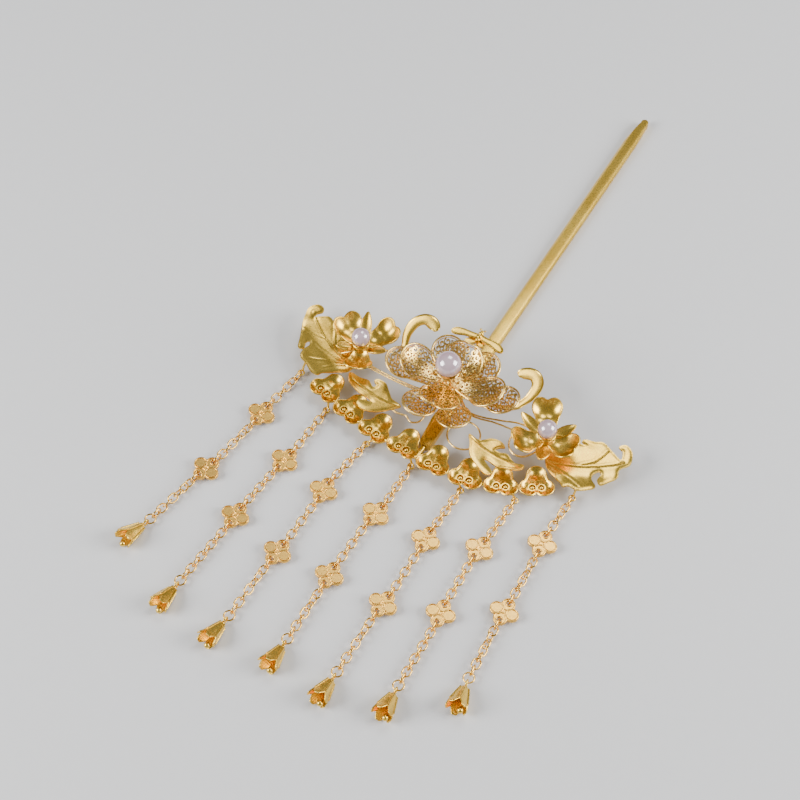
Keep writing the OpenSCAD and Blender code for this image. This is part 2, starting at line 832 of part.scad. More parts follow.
module plaque(i, k) {
  raise = 0.3;
  hole_r = 0.7;
  eye_wall = 0.28;
  p = plaque_xy(i, k);
  color(warm_gold)
    translate([p.x, p.y, chain_z - plaque_t / 2])
      rotate([0, 0, plaque_turn(i, k)])
        difference() {
          union() {
            translate([0, 0, 0.1])
              linear_extrude(plaque_t - raise)
                plaque_plan(0.1);
            linear_extrude(plaque_t)
              difference() {
                plaque_plan(0);
                plaque_plan(0.35);
              }
            for (s = [-1, 1]) {
              translate([0, s * lobe_out, 0.2])
                cylinder(r = 1.1, h = plaque_t - 0.15);
              translate([s * hole_out, 0, 0])
                cylinder(r = hole_r + eye_wall, h = plaque_t);
              rotate([0, 0, s * 45])
                translate([-1.6, -0.18, 0.2])
                  cube([3.2, 0.36, plaque_t - 0.25]);
            }
          }
          for (s = [-1, 1])
            translate([s * hole_out, 0, -1])
              cylinder(r = hole_r, h = plaque_t + 2);
        }
}

module bell(i) {
  lift = 0.18;
  bail_r = 0.9;
  at = ring_xy(i);
  bail_x = bell_ring_r - link_wire / 2 - wire_r - 0.12 + bail_r;
  // columns: share of the length, share of the way from neck radius to mouth radius
  outside = [[0, 0], [0.08, 0.08], [0.38, 0.36], [0.66, 0.61], [1, 1]];
  outer_line = [for (p = outside) [neck_r + p.y * (bell_r - neck_r), p.x * bell_l]];
  inner_line = [for (k = [4:-1:1]) [outer_line[k].x - bell_wall, outer_line[k].y + (k == 1 ? bell_wall : 0)]];
  color(gold)
    translate([at.x, at.y, 0])
      rotate([0, 0, runs[i][6]]) {
        translate([bail_x, 0, chain_z])
          rotate([90, 0, 0])
            torus(bail_r, wire_r);
        rod([bail_x + bail_r, 0, chain_z], [bell_reach + 0.4, 0, chain_z + 0.1], 0.5);
        translate([bell_reach, 0, lift + neck_r * cos(bell_tilt)])
          rotate([0, 90 - bell_tilt, 0]) {
            difference() {
              union() {
                rotate_extrude()
                  polygon(concat([[0, 0]], outer_line, inner_line, [[0, inner_line[3].y]]));
                for (k = [0:4])
                  rotate([0, 0, 72 * k - 4])
                    rotate_extrude(angle = 8)
                      polygon([
                        for (p = outer_line) [p.x + 0.12, p.y + 0.05],
                        for (j = [4:-1:0]) [outer_line[j].x - 0.1, outer_line[j].y + 0.05]
                      ]);
              }
              for (k = [0:4])
                rotate([0, 0, 72 * k])
                  translate([0, 0, bell_l])
                    rotate([0, 90, 0])
                      linear_extrude(bell_r * 2)
                        polygon([[-0.5, -1.9], [notch_l, 0], [-0.5, 1.9]]);
            }
            rod([0, 0, 0.5], [1.2, 0, bell_l + 0.3], 0.22);
            translate([1.3, 0, bell_l + 0.4])
              sphere(r = 0.85);
          }
      }
}

hair_stick();
wire_frame();
cloud_cups();
leaf_left();
leaf_right();
small_leaf_left();
small_leaf_right();
flower_outer();
flower_inner();
pearl_seat();
pearl_center();
orchid_left();
orchid_right();
pearl_left();
pearl_right();
horn_left();
horn_right();
butterfly();
for (i = [1:CHAINS]) {
  chain(i - 1);
  plaque(i - 1, 0);
  plaque(i - 1, 1);
  bell(i - 1);
}
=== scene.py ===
"""Hair stick with cloud cups, leaves, wire flowers, pearls, horns and seven hanging chains."""

import math
import random

import bpy
from bpy.props import FloatProperty, FloatVectorProperty, IntProperty, PointerProperty
from bpy.types import Operator, Panel, PropertyGroup
from mathutils import Matrix, Vector
from mathutils.geometry import delaunay_2d_cdt
from mathutils.kdtree import KDTree


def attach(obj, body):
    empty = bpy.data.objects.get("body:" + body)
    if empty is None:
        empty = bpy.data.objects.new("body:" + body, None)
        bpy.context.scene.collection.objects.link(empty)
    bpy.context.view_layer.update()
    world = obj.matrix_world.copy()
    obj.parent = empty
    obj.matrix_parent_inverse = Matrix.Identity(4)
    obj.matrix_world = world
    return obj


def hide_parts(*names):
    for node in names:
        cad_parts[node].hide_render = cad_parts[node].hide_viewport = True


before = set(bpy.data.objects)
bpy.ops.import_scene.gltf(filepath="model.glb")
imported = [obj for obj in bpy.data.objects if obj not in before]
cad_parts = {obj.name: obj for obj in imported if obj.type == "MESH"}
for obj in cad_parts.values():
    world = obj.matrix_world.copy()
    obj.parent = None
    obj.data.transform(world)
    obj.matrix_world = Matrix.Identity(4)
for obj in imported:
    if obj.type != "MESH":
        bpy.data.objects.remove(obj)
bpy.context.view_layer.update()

bl_info = {
    "name": "Hanging hair stick",
    "version": (1, 0, 0),
    "blender": (4, 5, 0),
    "location": "View3D > Sidebar > Hair stick",
    "description": "Models the pieces of a gilt hair stick with flowers, pearls and hanging chains",
    "category": "Mesh",
}

MM = 0.001
SCALE = Matrix.Scale(MM, 4)

# columns: x, y, turn of each cup
CUPS = [
    (-32.3, 0.1, -13),
    (-23, -2.6, -12),
    (-13.6, -4.5, -8),
    (-4.1, -4.9, 0),
    (5.6, -5.5, 4),
    (15.3, -4.9, 10),
    (24.6, -2, 21.5),
    (33.1, 2.5, 29),
]
# columns: x, y, radius added to each lobe of a cup, the last three fill the middle and the waist
CUP_LOBES = [
    (0, 2.4, 0.2), (-2.32, -1.6, 0), (2.32, -1.6, 0), (0, 0.4, 0.1), (-1.2, 0.85, -0.56), (1.2, 0.85, -0.56),
]
CUP_MIDDLE = (0, -0.3)
# middle of a cup's right volute, across and along
VOLUTE = (1.26, -1.85)
# columns: eyelet x, y, strut end x, y, strut top
EYELETS = [
    (-42.5, 1.6, -42.3, 3.9, 4.3),
    (-29.6, -5.6, -30, -3.8, 2.9),
    (-14.2, -9.5, -12.75, -7.8, 2.9),
    (0.2, -9.4, -0.75, -8, 2.9),
    (15.8, -9.2, 14.65, -8.15, 2.9),
    (30.2, -4.4, 28.9, -3.6, 2.9),
    (43.3, 4.2, 43.5, 6.4, 4.6),
]
# columns: x, y, turn of the solder between two cups
BRIDGES = [
    (-28, -2.83, -20),
    (-18.59, -5.2, -13),
    (-8.97, -6.45, -1),
    (0.81, -6.88, -8),
    (10.66, -6.91, 1),
    (20.45, -5.21, 19),
    (29.6, -1.33, 30),
]
EYELET_RADIUS = 0.8
STRUT_RADIUS = 0.33
# air between a bell's ring and what hangs in it
RING_GAP = 0.12
# columns: first plaque x, y, second plaque x, y, bell ring x, y, aim of the bell, turns of the plaques
RUNS = [
    (-44.75, -15.8, -48.1, -38.75, -52.3, -59.7, -103.3, 4, -6),
    (-30.9, -25.5, -33, -47.1, -34.75, -71.1, -92.2, -5, 5),
    (-16.5, -28.2, -17.1, -50.8, -17.8, -73.2, -95.1, 6, -4),
    (-0.4, -27.3, -1.4, -49.7, -1, -71.1, -89.5, -9, 3),
    (15.3, -27.3, 15.3, -49.8, 15.1, -72.5, -90, 3, -5),
    (29.2, -22.5, 29.8, -44.4, 30.7, -67.75, -85.6, -4, 6),
    (43, -12.5, 44, -35.5, 45.25, -56.7, -80.5, 5, -3),
]
# middles of the large flower, its pearl and the side flowers
FLOWER_MIDDLE = (0, 13)
PEARL_MIDDLE = (-0.9, 12.5)
SIDE_MIDDLES = {"left": (-29.5, 13.4), "right": (30.05, 13.1)}
# columns: direction, length, half width, bowl radius, bowl middle as a share of the length, end's roundness
OUTER_PETALS = [
    (184, 20, 4.95, 30, 0.3, 1),
    (124, 15.4, 4.95, 21, 0.3, 1),
    (60, 15.2, 4.95, 21, 0.3, 1),
    (8, 20, 4.95, 30, 0.3, 1),
    (-57, 15.8, 4.95, 22, 0.3, 1),
    (-113, 16, 4.95, 22, 0.3, 1),
]
INNER_PETALS = [
    (6, 15.6, 5.4, 15, 0.3, 0.92),
    (93, 11.6, 5.9, 14, 0.1, 0.84),
    (179, 15.7, 5.3, 15, 0.3, 0.92),
    (-91, 10.6, 5.9, 16, 0.2, 0.62),
]
# columns: direction, length, half width, bowl radius, bowl middle as a share of the length
LEFT_PETALS = [(60, 11.4, 4, 9, 0.42), (150, 10.4, 4.2, 8, 0.42), (-66, 9, 3.9, 7, 0.42)]
RIGHT_PETALS = [(117, 11.4, 4.1, 9, 0.42), (222, 9.5, 4.1, 7.5, 0.42), (-1, 8.9, 4.3, 7.5, 0.42)]
# columns: direction, length, half width
LEFT_SEPALS = [(109, 10.4, 1.6), (12, 7.6, 1.4), (212, 7.2, 1.4)]
RIGHT_SEPALS = [(165, 9.7, 1.6), (50, 8.8, 1.5), (-74, 8.2, 1.9)]
# columns: share of the leaf length along the midrib, share across it
LEAF_RIGHT = [
    (0.01, -0.05), (0.12, -0.235), (0.182, -0.3), (0.216, -0.345), (0.285, -0.334), (0.384, -0.375),
    (0.51, -0.363), (0.593, -0.324), (0.546, -0.247), (0.564, -0.175), (0.639, -0.135), (0.655, -0.185),
    (0.612, -0.25), (0.65, -0.31), (0.743, -0.267), (0.839, -0.21), (0.873, -0.088), (0.996, -0.008),
    (1.023, 0.147), (0.955, 0.249), (0.867, 0.218), (0.912, 0.156), (0.888, 0.043), (0.795, 0.144),
    (0.691, 0.269), (0.59, 0.278), (0.48, 0.306), (0.437, 0.28), (0.471, 0.228), (0.41, 0.25),
    (0.385, 0.365), (0.297, 0.381), (0.08, 0.25),
]
LEAF_LEFT = [
    (-0.05, -0.066), (0.018, -0.227), (0.117, -0.358), (0.139, -0.426), (0.232, -0.459), (0.36, -0.448),
    (0.481, -0.453), (0.535, -0.375), (0.533, -0.294), (0.577, -0.264), (0.594, -0.308), (0.55, -0.37),
    (0.608, -0.408), (0.703, -0.323), (0.84, -0.203), (0.918, -0.124), (1.008, -0.004), (0.993, 0.108),
    (0.918, 0.146), (0.863, 0.103), (0.877, 0.029), (0.85, -0.03), (0.813, 0.052), (0.74, 0.141),
    (0.536, 0.141), (0.366, 0.274), (0.08, 0.17),
]
SMALL_LEFT = [
    (0.02, 0.009), (0.197, 0.042), (0.322, 0.13), (0.44, 0.218), (0.573, 0.214), (0.611, 0.153),
    (0.54, 0.105), (0.568, 0.049), (0.684, 0.102), (0.824, 0.072), (1.005, 0.055), (0.945, -0.056),
    (0.835, -0.112), (0.676, -0.152), (0.516, -0.153), (0.44, -0.186), (0.576, -0.23), (0.618, -0.307),
    (0.491, -0.356), (0.278, -0.28), (0.115, -0.127),
]
SMALL_RIGHT = [
    (0.01, 0.012), (0.193, 0.014), (0.341, 0.149), (0.484, 0.185), (0.581, 0.135), (0.522, 0.085),
    (0.486, 0.015), (0.572, 0.015), (0.676, 0.053), (0.843, 0), (0.98, 0.041), (0.978, -0.046),
    (0.83, -0.136), (0.675, -0.201), (0.512, -0.196), (0.45, -0.222), (0.618, -0.292), (0.672, -0.336),
    (0.587, -0.399), (0.392, -0.344), (0.222, -0.264), (0.096, -0.093),
]
# columns: share of the leaf length across it, share of height above the leaf base
LEAF_BEND = [(-0.56, -0.07), (-0.36, -0.03), (-0.2, 0.012), (0, 0), (0.2, -0.005), (0.5, -0.03)]
SMALL_BEND = [(-0.5, -0.03), (-0.2, 0), (0, 0.012), (0.15, 0.012), (0.4, -0.02)]
LEAF_VEINS = [
    [(0.03, -0.02), (0.3, -0.07), (0.55, -0.07), (0.8, -0.03), (0.93, 0.015)],
    [(0.43, -0.05), (0.58, 0), (0.68, 0.08), (0.74, 0.15)],
    [(0.04, -0.04), (0.22, -0.17), (0.41, -0.32)],
]
FAN_VEINS = [
    [(0.03, -0.02), (0.3, -0.07), (0.55, -0.07), (0.8, -0.03), (0.93, 0.015)],
    [(0.28, -0.06), (0.42, 0), (0.52, 0.07), (0.6, 0.11)],
    [(0.04, -0.04), (0.22, -0.13), (0.4, -0.2), (0.5, -0.22)],
    [(0.04, -0.05), (0.15, -0.16), (0.3, -0.3), (0.4, -0.38)],
    [(0.03, -0.06), (0.1, -0.18), (0.18, -0.32)],
    [(0.05, 0), (0.17, 0.05), (0.28, 0.13), (0.35, 0.21)],
    [(0.5, -0.07), (0.6, -0.14), (0.7, -0.2), (0.78, -0.22)],
]
SMALL_VEINS = [[(0.05, 0), (0.35, -0.06), (0.65, -0.05), (0.93, -0.01)]]
# columns: shares of the horn size across and up, and of the band width
HORN_LINE = [
    (-0.62, -0.42, 0.3), (-0.3, -0.32, 0.45), (-0.06, -0.14, 0.5), (0, 0, 0.55), (0.1, 0.27, 0.7),
    (0.125, 0.56, 0.85), (0.08, 0.79, 0.95), (-0.05, 0.95, 1.05), (-0.2, 0.99, 1.12), (-0.34, 0.94, 1.1),
    (-0.45, 0.86, 0.9), (-0.51, 0.79, 0.45),
]
# columns: share across the band, height
HORN_BAND = [
    (-0.5, 0.08), (0, 0), (0.5, 0.08), (0.85, 0.3), (1, 0.58), (0.98, 0.8), (0.9, 0.85), (0.82, 0.78),
    (0.7, 0.6), (0.35, 0.5), (0, 0.47), (-0.35, 0.5), (-0.7, 0.6), (-0.82, 0.78), (-0.9, 0.85), (-0.98, 0.8),
    (-1, 0.58), (-0.85, 0.3),
]
# columns: shares of the half span across and along
WING_UPPER = [
    (0.03, -0.08), (0.25, -0.13), (0.5, -0.13), (0.8, -0.2), (0.97, -0.17),
    (1, -0.06), (0.9, 0.06), (0.7, 0.12), (0.3, 0.1), (0.03, 0.08),
]
WING_LOWER = [
    (0, -0.05), (-0.12, -0.08), (-0.36, -0.2), (-0.4, -0.34), (-0.28, -0.42), (-0.1, -0.36), (0.03, -0.2),
]
# every row is a wire's route of x, y, z
WIRES = [
    [(-29.5, 12.4, 7.9), (-27.3, 10.3, 7.9), (-20, 9.8, 7.9), (-10, 9.9, 8.2), (0, 11.8, 8.8)],
    [(-29.5, 11.6, 7.9), (-27.1, 9.6, 7.9), (-20, 9.1, 7.9), (-10, 9.2, 8.2), (0, 11.2, 8.8)],
    [(0, 11.8, 8.8), (6, 10.4, 8.1), (11, 10.9, 7.9), (16.5, 12.7, 7.9), (22, 14.5, 7.9), (29.5, 13.8, 7.9)],
    [(0, 11.2, 8.8), (8.5, 9.9, 7.9), (15, 11.1, 7.9), (21.6, 11.7, 7.9), (29.3, 12.6, 7.9)],
    [(22.6, 11.8, 7.9), (21.2, 9.5, 7.9), (21.8, 6.8, 7.9), (23.3, 5.3, 7.9), (25.3, 4.8, 7.9),
     (27.3, 5.6, 7.9), (29, 8, 7.9), (30, 11.6, 7.9)],
    [(0, 12, 6.5), (3.6, 9.8, 5.6), (5.75, 7.75, 5.5)],
    [(0, 12, 6.5), (-3, 9.5, 5.6), (-3.5, 5.4, 5.5), (-3.5, 3.4, 5.5), (-4.2, 1.7, 5.5), (-6, 0.8, 5.5),
     (-8, 1.9, 5.5), (-9.4, 1.7, 5.5), (-11.5, 1.6, 5.5), (-14.5, 2.3, 5.5)],
    [(0, 12.8, 9.5), (-8, 15.2, 9.4), (-14.5, 16, 9.4), (-21.5, 16.2, 9.2), (-26, 15.2, 8.2),
     (-30, 13.6, 7.9)],
    [(0, 12.8, 9.5), (8, 14.6, 9.4), (14.5, 15.6, 9.4)],
    [(-30.5, 13, 7.9), (-32.4, 11.4, 7), (-34.2, 10.6, 6.15)],
    [(30.5, 13, 7.9), (33, 12.6, 7), (35, 12.2, 6.15)],
]
# x, y, z and radius of the scroll ring
WIRE_RING = (9, 4.5, 5.5, 4.6)
# columns: x, y, foot, radius, height. Foot plate and post on the stick, then the side flowers' seats
WIRE_PLATES = [
    (0, 12.8, 2.6, 2.1, 1), (0, 12.8, 2.6, 1.6, 9.1), (*SIDE_MIDDLES["left"], 7.6, 2, 0.7),
    (*SIDE_MIDDLES["right"], 7.6, 2, 0.7),
]
# name of the mark that tells how far down the side of a scroll a point lies, where painted shade darkens the
# wire
PAINTED_SHADE_MARK = "painted_shade_depth"
# columns: name, direction to the lamp, distance and side in metres, power in watts
LAMPS = [
    ("left_box", (-0.61, -0.59, 0.53), 0.75, 0.42, 8.2),
    ("right_box", (0.815, 0.336, 0.474), 0.75, 0.42, 8.2),
    ("top_box", (-0.05, 0.5, 0.86), 0.9, 0.38, 2.9),
]
# the photograph's camera: two angles in degrees, distance and slide sideways and up in millimetres
CAMERA_AZIMUTH = 30.54
CAMERA_ELEVATION = 56.97
CAMERA_DISTANCE = 525.3
CAMERA_SLIDE = (-7.6, 12.2)
SENSOR_WIDTH = 36
# its focal length and the width of the photograph, both in pixels
FOCAL_PIXELS = 1880
PHOTO_PIXELS = 800


def length_property(label, about, value):
    """A length in metres, shown in the file's own units."""
    return FloatProperty(name=label, description=about, default=value * MM, unit="LENGTH", min=0)


def colour_property(label, about, value):
    """A colour without its own opacity."""
    return FloatVectorProperty(
        name=label, description=about, default=value, subtype="COLOR", size=3, min=0, max=1
    )


class HairStickSizes(PropertyGroup):
    wire_radius: length_property("Wire radius", "Radius of the carrying wires", 0.28)
    cup_rim: length_property("Cup rim", "Height of the cup rims", 3.8)
    lobe_radius: length_property("Lobe radius", "Radius of each lobe of a cup", 2.6)
    leaf_length: length_property("Leaf length", "Length of the large leaves", 23.5)
    small_leaf_length: length_property("Small leaf length", "Length of the small leaves", 18.4)
    leaf_thickness: length_property("Leaf thickness", "Thickness of the leaves", 0.6)
    horn_height: length_property("Horn height", "Size of the horns", 10.3)
    horn_band: length_property("Horn band", "Width of the horn band", 3.6)
    butterfly_span: length_property("Half span", "Half span of the butterfly", 8.1)


class FlowerSizes(PropertyGroup):
    outer_height: length_property("Outer height", "Height under the outer petals", 11.9)
    inner_height: length_property("Inner height", "Height under the inner petals", 13.5)
    side_height: length_property("Side height", "Height under the side flowers", 8.5)
    scroll_radius: length_property("Scroll radius", "Radius of the small wire scrolls", 0.72)
    border_radius: length_property("Border radius", "Radius of the petal border wire", 0.3)
    pearl: length_property("Centre pearl", "Diameter of the centre pearl", 7.3)
    side_pearl: length_property("Side pearl", "Diameter of the side pearls", 5.4)
    pearl_facets: IntProperty(name="Pearl facets", description="Faces round a pearl", default=72, min=16)


class ChainSizes(PropertyGroup):
    link_length: length_property("Link length", "Outer length of one link", 3.5)
    link_width: length_property("Link width", "Outer width of one link", 2.7)
    link_wire: length_property("Link wire", "Wire of the links", 0.5)
    chain_height: length_property("Chain height", "Height of the chain's middle", 1.4)
    largest_pitch: length_property("Largest pitch", "Largest distance from link to link", 2.38)
    ring_radius: length_property("Ring radius", "Mean radius of the ring on each bell", 1.45)
    plaque_lobe: length_property("Plaque lobe", "Radius of the plaque lobes", 1.9)
    plaque_reach: length_property("Plaque reach", "Distance of the lobes from the middle", 2.25)
    hole_reach: length_property("Hole reach", "Distance of the link holes from the middle", 2.75)
    bell_length: length_property("Bell length", "Length of the bells", 7.1)
    bell_mouth: length_property("Bell mouth", "Mouth radius of the bells", 3.2)
    bell_neck: length_property("Bell neck", "Neck radius of the bells", 1.2)
    bell_notch: length_property("Bell notch", "Depth of the notches in the bells' mouths", 2.3)


class Finishes(PropertyGroup):
    gold: colour_property("Gold", "Polished sheet gold", (0.9, 0.6, 0.1))
    gold_deep: colour_property("Deep gold", "Gold in the hollows", (0.72, 0.42, 0.04))
    wire_gold: colour_property("Wire gold", "Warm gold of the fine wires", (0.94, 0.66, 0.2))
    wire_deep: colour_property("Deep wire gold", "Wire gold in the hollows", (0.84, 0.5, 0.12))
    # wire_painted_shade is painted shade, not tarnish: a dark tone put low on the sides of the scrolls,
    # where shade falls in the gaps between them
    wire_painted_shade: colour_property("Wire shade", "Tarnish low on the sides of the scrolls", (0.16, 0.06, 0.01))
    chain_gold: colour_property("Chain gold", "Slightly rosy gold of the chains", (0.92, 0.55, 0.11))
    pearl_body: colour_property("Pearl", "Body colour of the pearls", (0.54, 0.41, 0.44))
    # pearl_edge_tint_and_shade is partly the pearl's rosy rim tint and partly painted shade: a darker colour
    # towards the outline that stands in for light falling off
    pearl_edge_tint_and_shade: colour_property("Pearl edge", "Tint at the edge of the pearls", (0.34, 0.14, 0.19))
    pearl_cloud: colour_property("Pearl cloud", "Warm clouds on the pearls", (0.55, 0.32, 0.36))
    floor: colour_property("Floor", "Pale studio floor", (0.66, 0.66, 0.66))


def mil(metres):
    """A property's length in millimetres."""
    return metres / MM


def pin():
    """Sizes of the wires, cups, leaves, horns and butterfly."""
    return bpy.context.scene.hair_stick_sizes


def bloom():
    """Sizes of the flowers and pearls."""
    return bpy.context.scene.hair_stick_flowers


def hang():
    """Sizes of the chains, plaques and bells."""
    return bpy.context.scene.hair_stick_chains


def finish():
    """Colours of the metals, the pearls and the floor."""
    return bpy.context.scene.hair_stick_finishes


def spline_point(a, b, c, d, t):
    """Point at t on the smooth curve through four points, between the middle two."""
    return tuple(
        0.5 * (2 * q + (r - p) * t + (2 * p - 5 * q + 4 * r - s) * t * t + (3 * q - p - 3 * r + s) * t**3)
        for p, q, r, s in zip(a, b, c, d)
    )


def smooth_loop(points, steps):
    n = len(points)
    return [
        spline_point(points[i - 1], points[i], points[(i + 1) % n], points[(i + 2) % n], k / steps)
        for i in range(n)
        for k in range(steps)
    ]


def smooth_line(points, steps):
    last = len(points) - 1
    line = [
        spline_point(points[max(i - 1, 0)], points[i], points[i + 1], points[min(i + 2, last)], k / steps)
        for i in range(last)
        for k in range(steps)
    ]
    return line + [tuple(points[last])]


def blend_value(table, x):
    """Smooth value at x from a table of x, value rows."""
    rows = sorted(table)
    if x <= rows[0][0]:
        return rows[0][1]
    for i in range(len(rows) - 1):
        a, b = rows[i], rows[i + 1]
        if x <= b[0]:
            t = (x - a[0]) / (b[0] - a[0])
            before, after = rows[max(i - 1, 0)], rows[min(i + 2, len(rows) - 1)]
            return spline_point((before[1],), (a[1],), (b[1],), (after[1],), t)[0]
    return rows[-1][1]


def ring_route(x, y, z, radius, count):
    """Points of a level ring."""
    angles = [math.tau * k / count for k in range(count)]
    return [(x + radius * math.cos(a), y + radius * math.sin(a), z) for a in angles]


def turn(degrees):
    return Matrix.Rotation(math.radians(degrees), 4, "Z")


def shift(x, y, z):
    return Matrix.Translation((x, y, z))


def point_tree(points):
    """Finds the nearest of some points in the plan."""
    tree = KDTree(len(points))
    for i, p in enumerate(points):
        tree.insert((p[0], p[1], 0), i)
    tree.balance()
    return tree


def gap_to(tree, x, y):
    """Distance from a place in the plan to the nearest point."""
    return tree.find((x, y, 0))[2]


def deselect():
    for o in bpy.context.selected_objects:
        o.select_set(False)


def pick(obj):
    deselect()
    obj.select_set(True)
    bpy.context.view_layer.objects.active = obj


def add_object(name, data):
    obj = bpy.data.objects.new(name, data)
    bpy.context.scene.collection.objects.link(obj)
    return obj


def mesh_piece(name, points, faces, mirrored=False):
    """A mesh object from points in millimetres. The faces of a mirrored one are turned to point out."""
    mesh = bpy.data.meshes.new(name)
    mesh.from_pydata([Vector(p) * MM for p in points], [], faces)
    mesh.validate()
    if mirrored:
        mesh.flip_normals()
    return add_object(name, mesh)


def wire_piece(name, routes, radius, closed=False, fineness=2):
    """Round wires along routes in millimetres, made a mesh."""
    curve = bpy.data.curves.new(name, "CURVE")
    curve.dimensions = "3D"
    curve.bevel_depth = radius * MM
    curve.bevel_resolution = fineness
    curve.use_fill_caps = not closed
    for route in routes:
        spline = curve.splines.new("POLY")
        spline.points.add(len(route) - 1)
        for point, place in zip(spline.points, route):
            point.co = (place[0] * MM, place[1] * MM, place[2] * MM, 1)
        spline.use_cyclic_u = closed
    pick(add_object(name, curve))
    bpy.ops.object.convert(target="MESH")
    return bpy.context.view_layer.objects.active


def round_plate(x, y, low, radius, high):
    """A round plate that stands on the height low."""
    bpy.ops.mesh.primitive_cylinder_add(vertices=48, radius=radius * MM, depth=high * MM)
    disc = bpy.context.object
    disc.data.transform(Matrix.Translation(Vector((x, y, low + high / 2)) * MM))
    return disc


def bead(spot, radius, segments, rings):
    """A ball at a spot in millimetres."""
    bpy.ops.mesh.primitive_uv_sphere_add(segments=segments, ring_count=rings, radius=radius * MM)
    ball = bpy.context.object
    ball.data.transform(Matrix.Translation(Vector(spot) * MM))
    return ball


def join(name, objects):
    pick(objects[0])
    for o in objects[1:]:
        o.select_set(True)
    if len(objects) > 1:
        bpy.ops.object.join()
    obj = bpy.context.view_layer.objects.active
    obj.name = name
    obj.data.name = name
    return obj


def copy_shape(shape):
    """A copy of a shape with its own mesh."""
    obj = shape.copy()
    obj.data = shape.data.copy()
    bpy.context.scene.collection.objects.link(obj)
    return obj


def turn_faces_out(obj):
    pick(obj)
    bpy.ops.object.mode_set(mode="EDIT")
    bpy.ops.mesh.select_all(action="SELECT")
    bpy.ops.mesh.normals_make_consistent(inside=False)
    bpy.ops.object.mode_set(mode="OBJECT")


def apply_modifiers(obj):
    pick(obj)
    for modifier in list(obj.modifiers):
        bpy.ops.object.modifier_apply(modifier=modifier.name)


def round_edges(obj, width, degrees=50, segments=2):
    """Edges sharper than the angle are rounded."""
    bevel = obj.modifiers.new("Rounding", "BEVEL")
    bevel.width = width * MM
    bevel.segments = segments
    bevel.limit_method = "ANGLE"
    bevel.angle_limit = math.radians(degrees)
    apply_modifiers(obj)


def give_wall(obj, wall):
    """A sheet gets its wall, on the side that its faces turn away from."""
    solid = obj.modifiers.new("Wall", "SOLIDIFY")
    solid.thickness = wall * MM
    solid.offset = -1
    apply_modifiers(obj)
    return obj


def rounded_wall(obj, wall, rounding):
    """A sheet gets its wall, and the cut edges are rounded."""
    give_wall(obj, wall)
    round_edges(obj, rounding)
    return obj


def smooth(obj, degrees):
    pick(obj)
    bpy.ops.object.shade_smooth_by_angle(angle=math.radians(degrees))


def seat(obj, nodes, material):
    """The piece rides with the part, stands for its solids and gets its finish."""
    obj.data.materials.clear()
    obj.data.materials.append(material)
    for polygon in obj.data.polygons:
        polygon.material_index = 0
    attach(obj, "root")
    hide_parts(*nodes)
    return obj


def make_piece(name, parts, degrees, node, material):
    """The parts become one smooth piece in the node's place."""
    obj = join(name, parts)
    smooth(obj, degrees)
    return seat(obj, [node], material)


def inside_loop(x, y, loop):
    hit = False
    j = len(loop) - 1
    for i in range(len(loop)):
        (xi, yi), (xj, yj) = loop[i], loop[j]
        if (yi > y) != (yj > y) and x < (xj - xi) * (y - yi) / (yj - yi) + xi:
            hit = not hit
        j = i
    return hit


def sheet(name, loop, step, height, place, lines=()):
    """A flat outline filled with small faces, raised to its height and put in its place."""
    edge_gap, point_gap, row_step = 0.2, step * 0.6, step * 0.866
    edge = point_tree(loop)
    low = [min(p[k] for p in loop) for k in (0, 1)]
    high = [max(p[k] for p in loop) for k in (0, 1)]
    points = [Vector((p[0], p[1])) for p in loop]
    points += [p for p in lines if inside_loop(p.x, p.y, loop) and gap_to(edge, p.x, p.y) > edge_gap]
    near = point_tree(points)
    row = 0
    y = low[1] + step / 2
    while y < high[1]:
        x = low[0] + step / 2 * (1 + row % 2)
        while x < high[0]:
            if inside_loop(x, y, loop) and gap_to(near, x, y) > point_gap:
                points.append(Vector((x, y)))
            x += step
        y += row_step
        row += 1
    flat, _, faces, _, _, _ = delaunay_2d_cdt(points, [], [list(range(len(loop)))], 1, 1e-5)
    raised = [place @ Vector((p.x, p.y, height(p.x, p.y, gap_to(edge, p.x, p.y)))) for p in flat]
    return mesh_piece(name, raised, faces, place.determinant() < 0)


def dish(name, loop, centre, height, place, rings):
    """A star-shaped outline filled with rings of faces round its centre."""
    n = len(loop)
    points = [place @ Vector((centre[0], centre[1], height(centre[0], centre[1], 0)))]
    for r in range(1, rings + 1):
        share = math.sin(r / rings * math.pi / 2)
        for p in loop:
            x = centre[0] + (p[0] - centre[0]) * share
            y = centre[1] + (p[1] - centre[1]) * share
            points.append(place @ Vector((x, y, height(x, y, share))))
    faces = [(0, 1 + k, 1 + (k + 1) % n) for k in range(n)]
    for r in range(rings - 1):
        a, b = 1 + r * n, 1 + (r + 1) * n
        faces += [(a + k, b + k, b + (k + 1) % n, a + (k + 1) % n) for k in range(n)]
    return mesh_piece(name, points, faces, place.determinant() < 0)


def band_faces(rows, around, closed=False):
    """Faces between rows of points that each run round a band, and its two ends where it is open."""
    faces = []
    for k in range(rows if closed else rows - 1):
        a, b = k * around, (k + 1) % rows * around
        faces += [(a + j, b + j, b + (j + 1) % around, a + (j + 1) % around) for j in range(around)]
    if not closed:
        faces += [tuple(range(around)), tuple(reversed(range((rows - 1) * around, rows * around)))]
    return faces


def star_outline(inside, centre, count, reach, soften=1):
    """Outline of a shape seen from its centre, its corners softened."""
    halvings = 22
    angles = [2 * math.pi * k / count for k in range(count)]
    far = []
    for a in angles:
        near, out = 0.0, reach
        for _ in range(halvings):
            mid = (near + out) / 2
            if inside(centre[0] + mid * math.cos(a), centre[1] + mid * math.sin(a)):
                near = mid
            else:
                out = mid
        far.append(near)
    for _ in range(soften):
        far = [(far[k - 1] + 2 * far[k] + far[(k + 1) % count]) / 4 for k in range(count)]
    return [(centre[0] + r * math.cos(a), centre[1] + r * math.sin(a)) for r, a in zip(far, angles)]


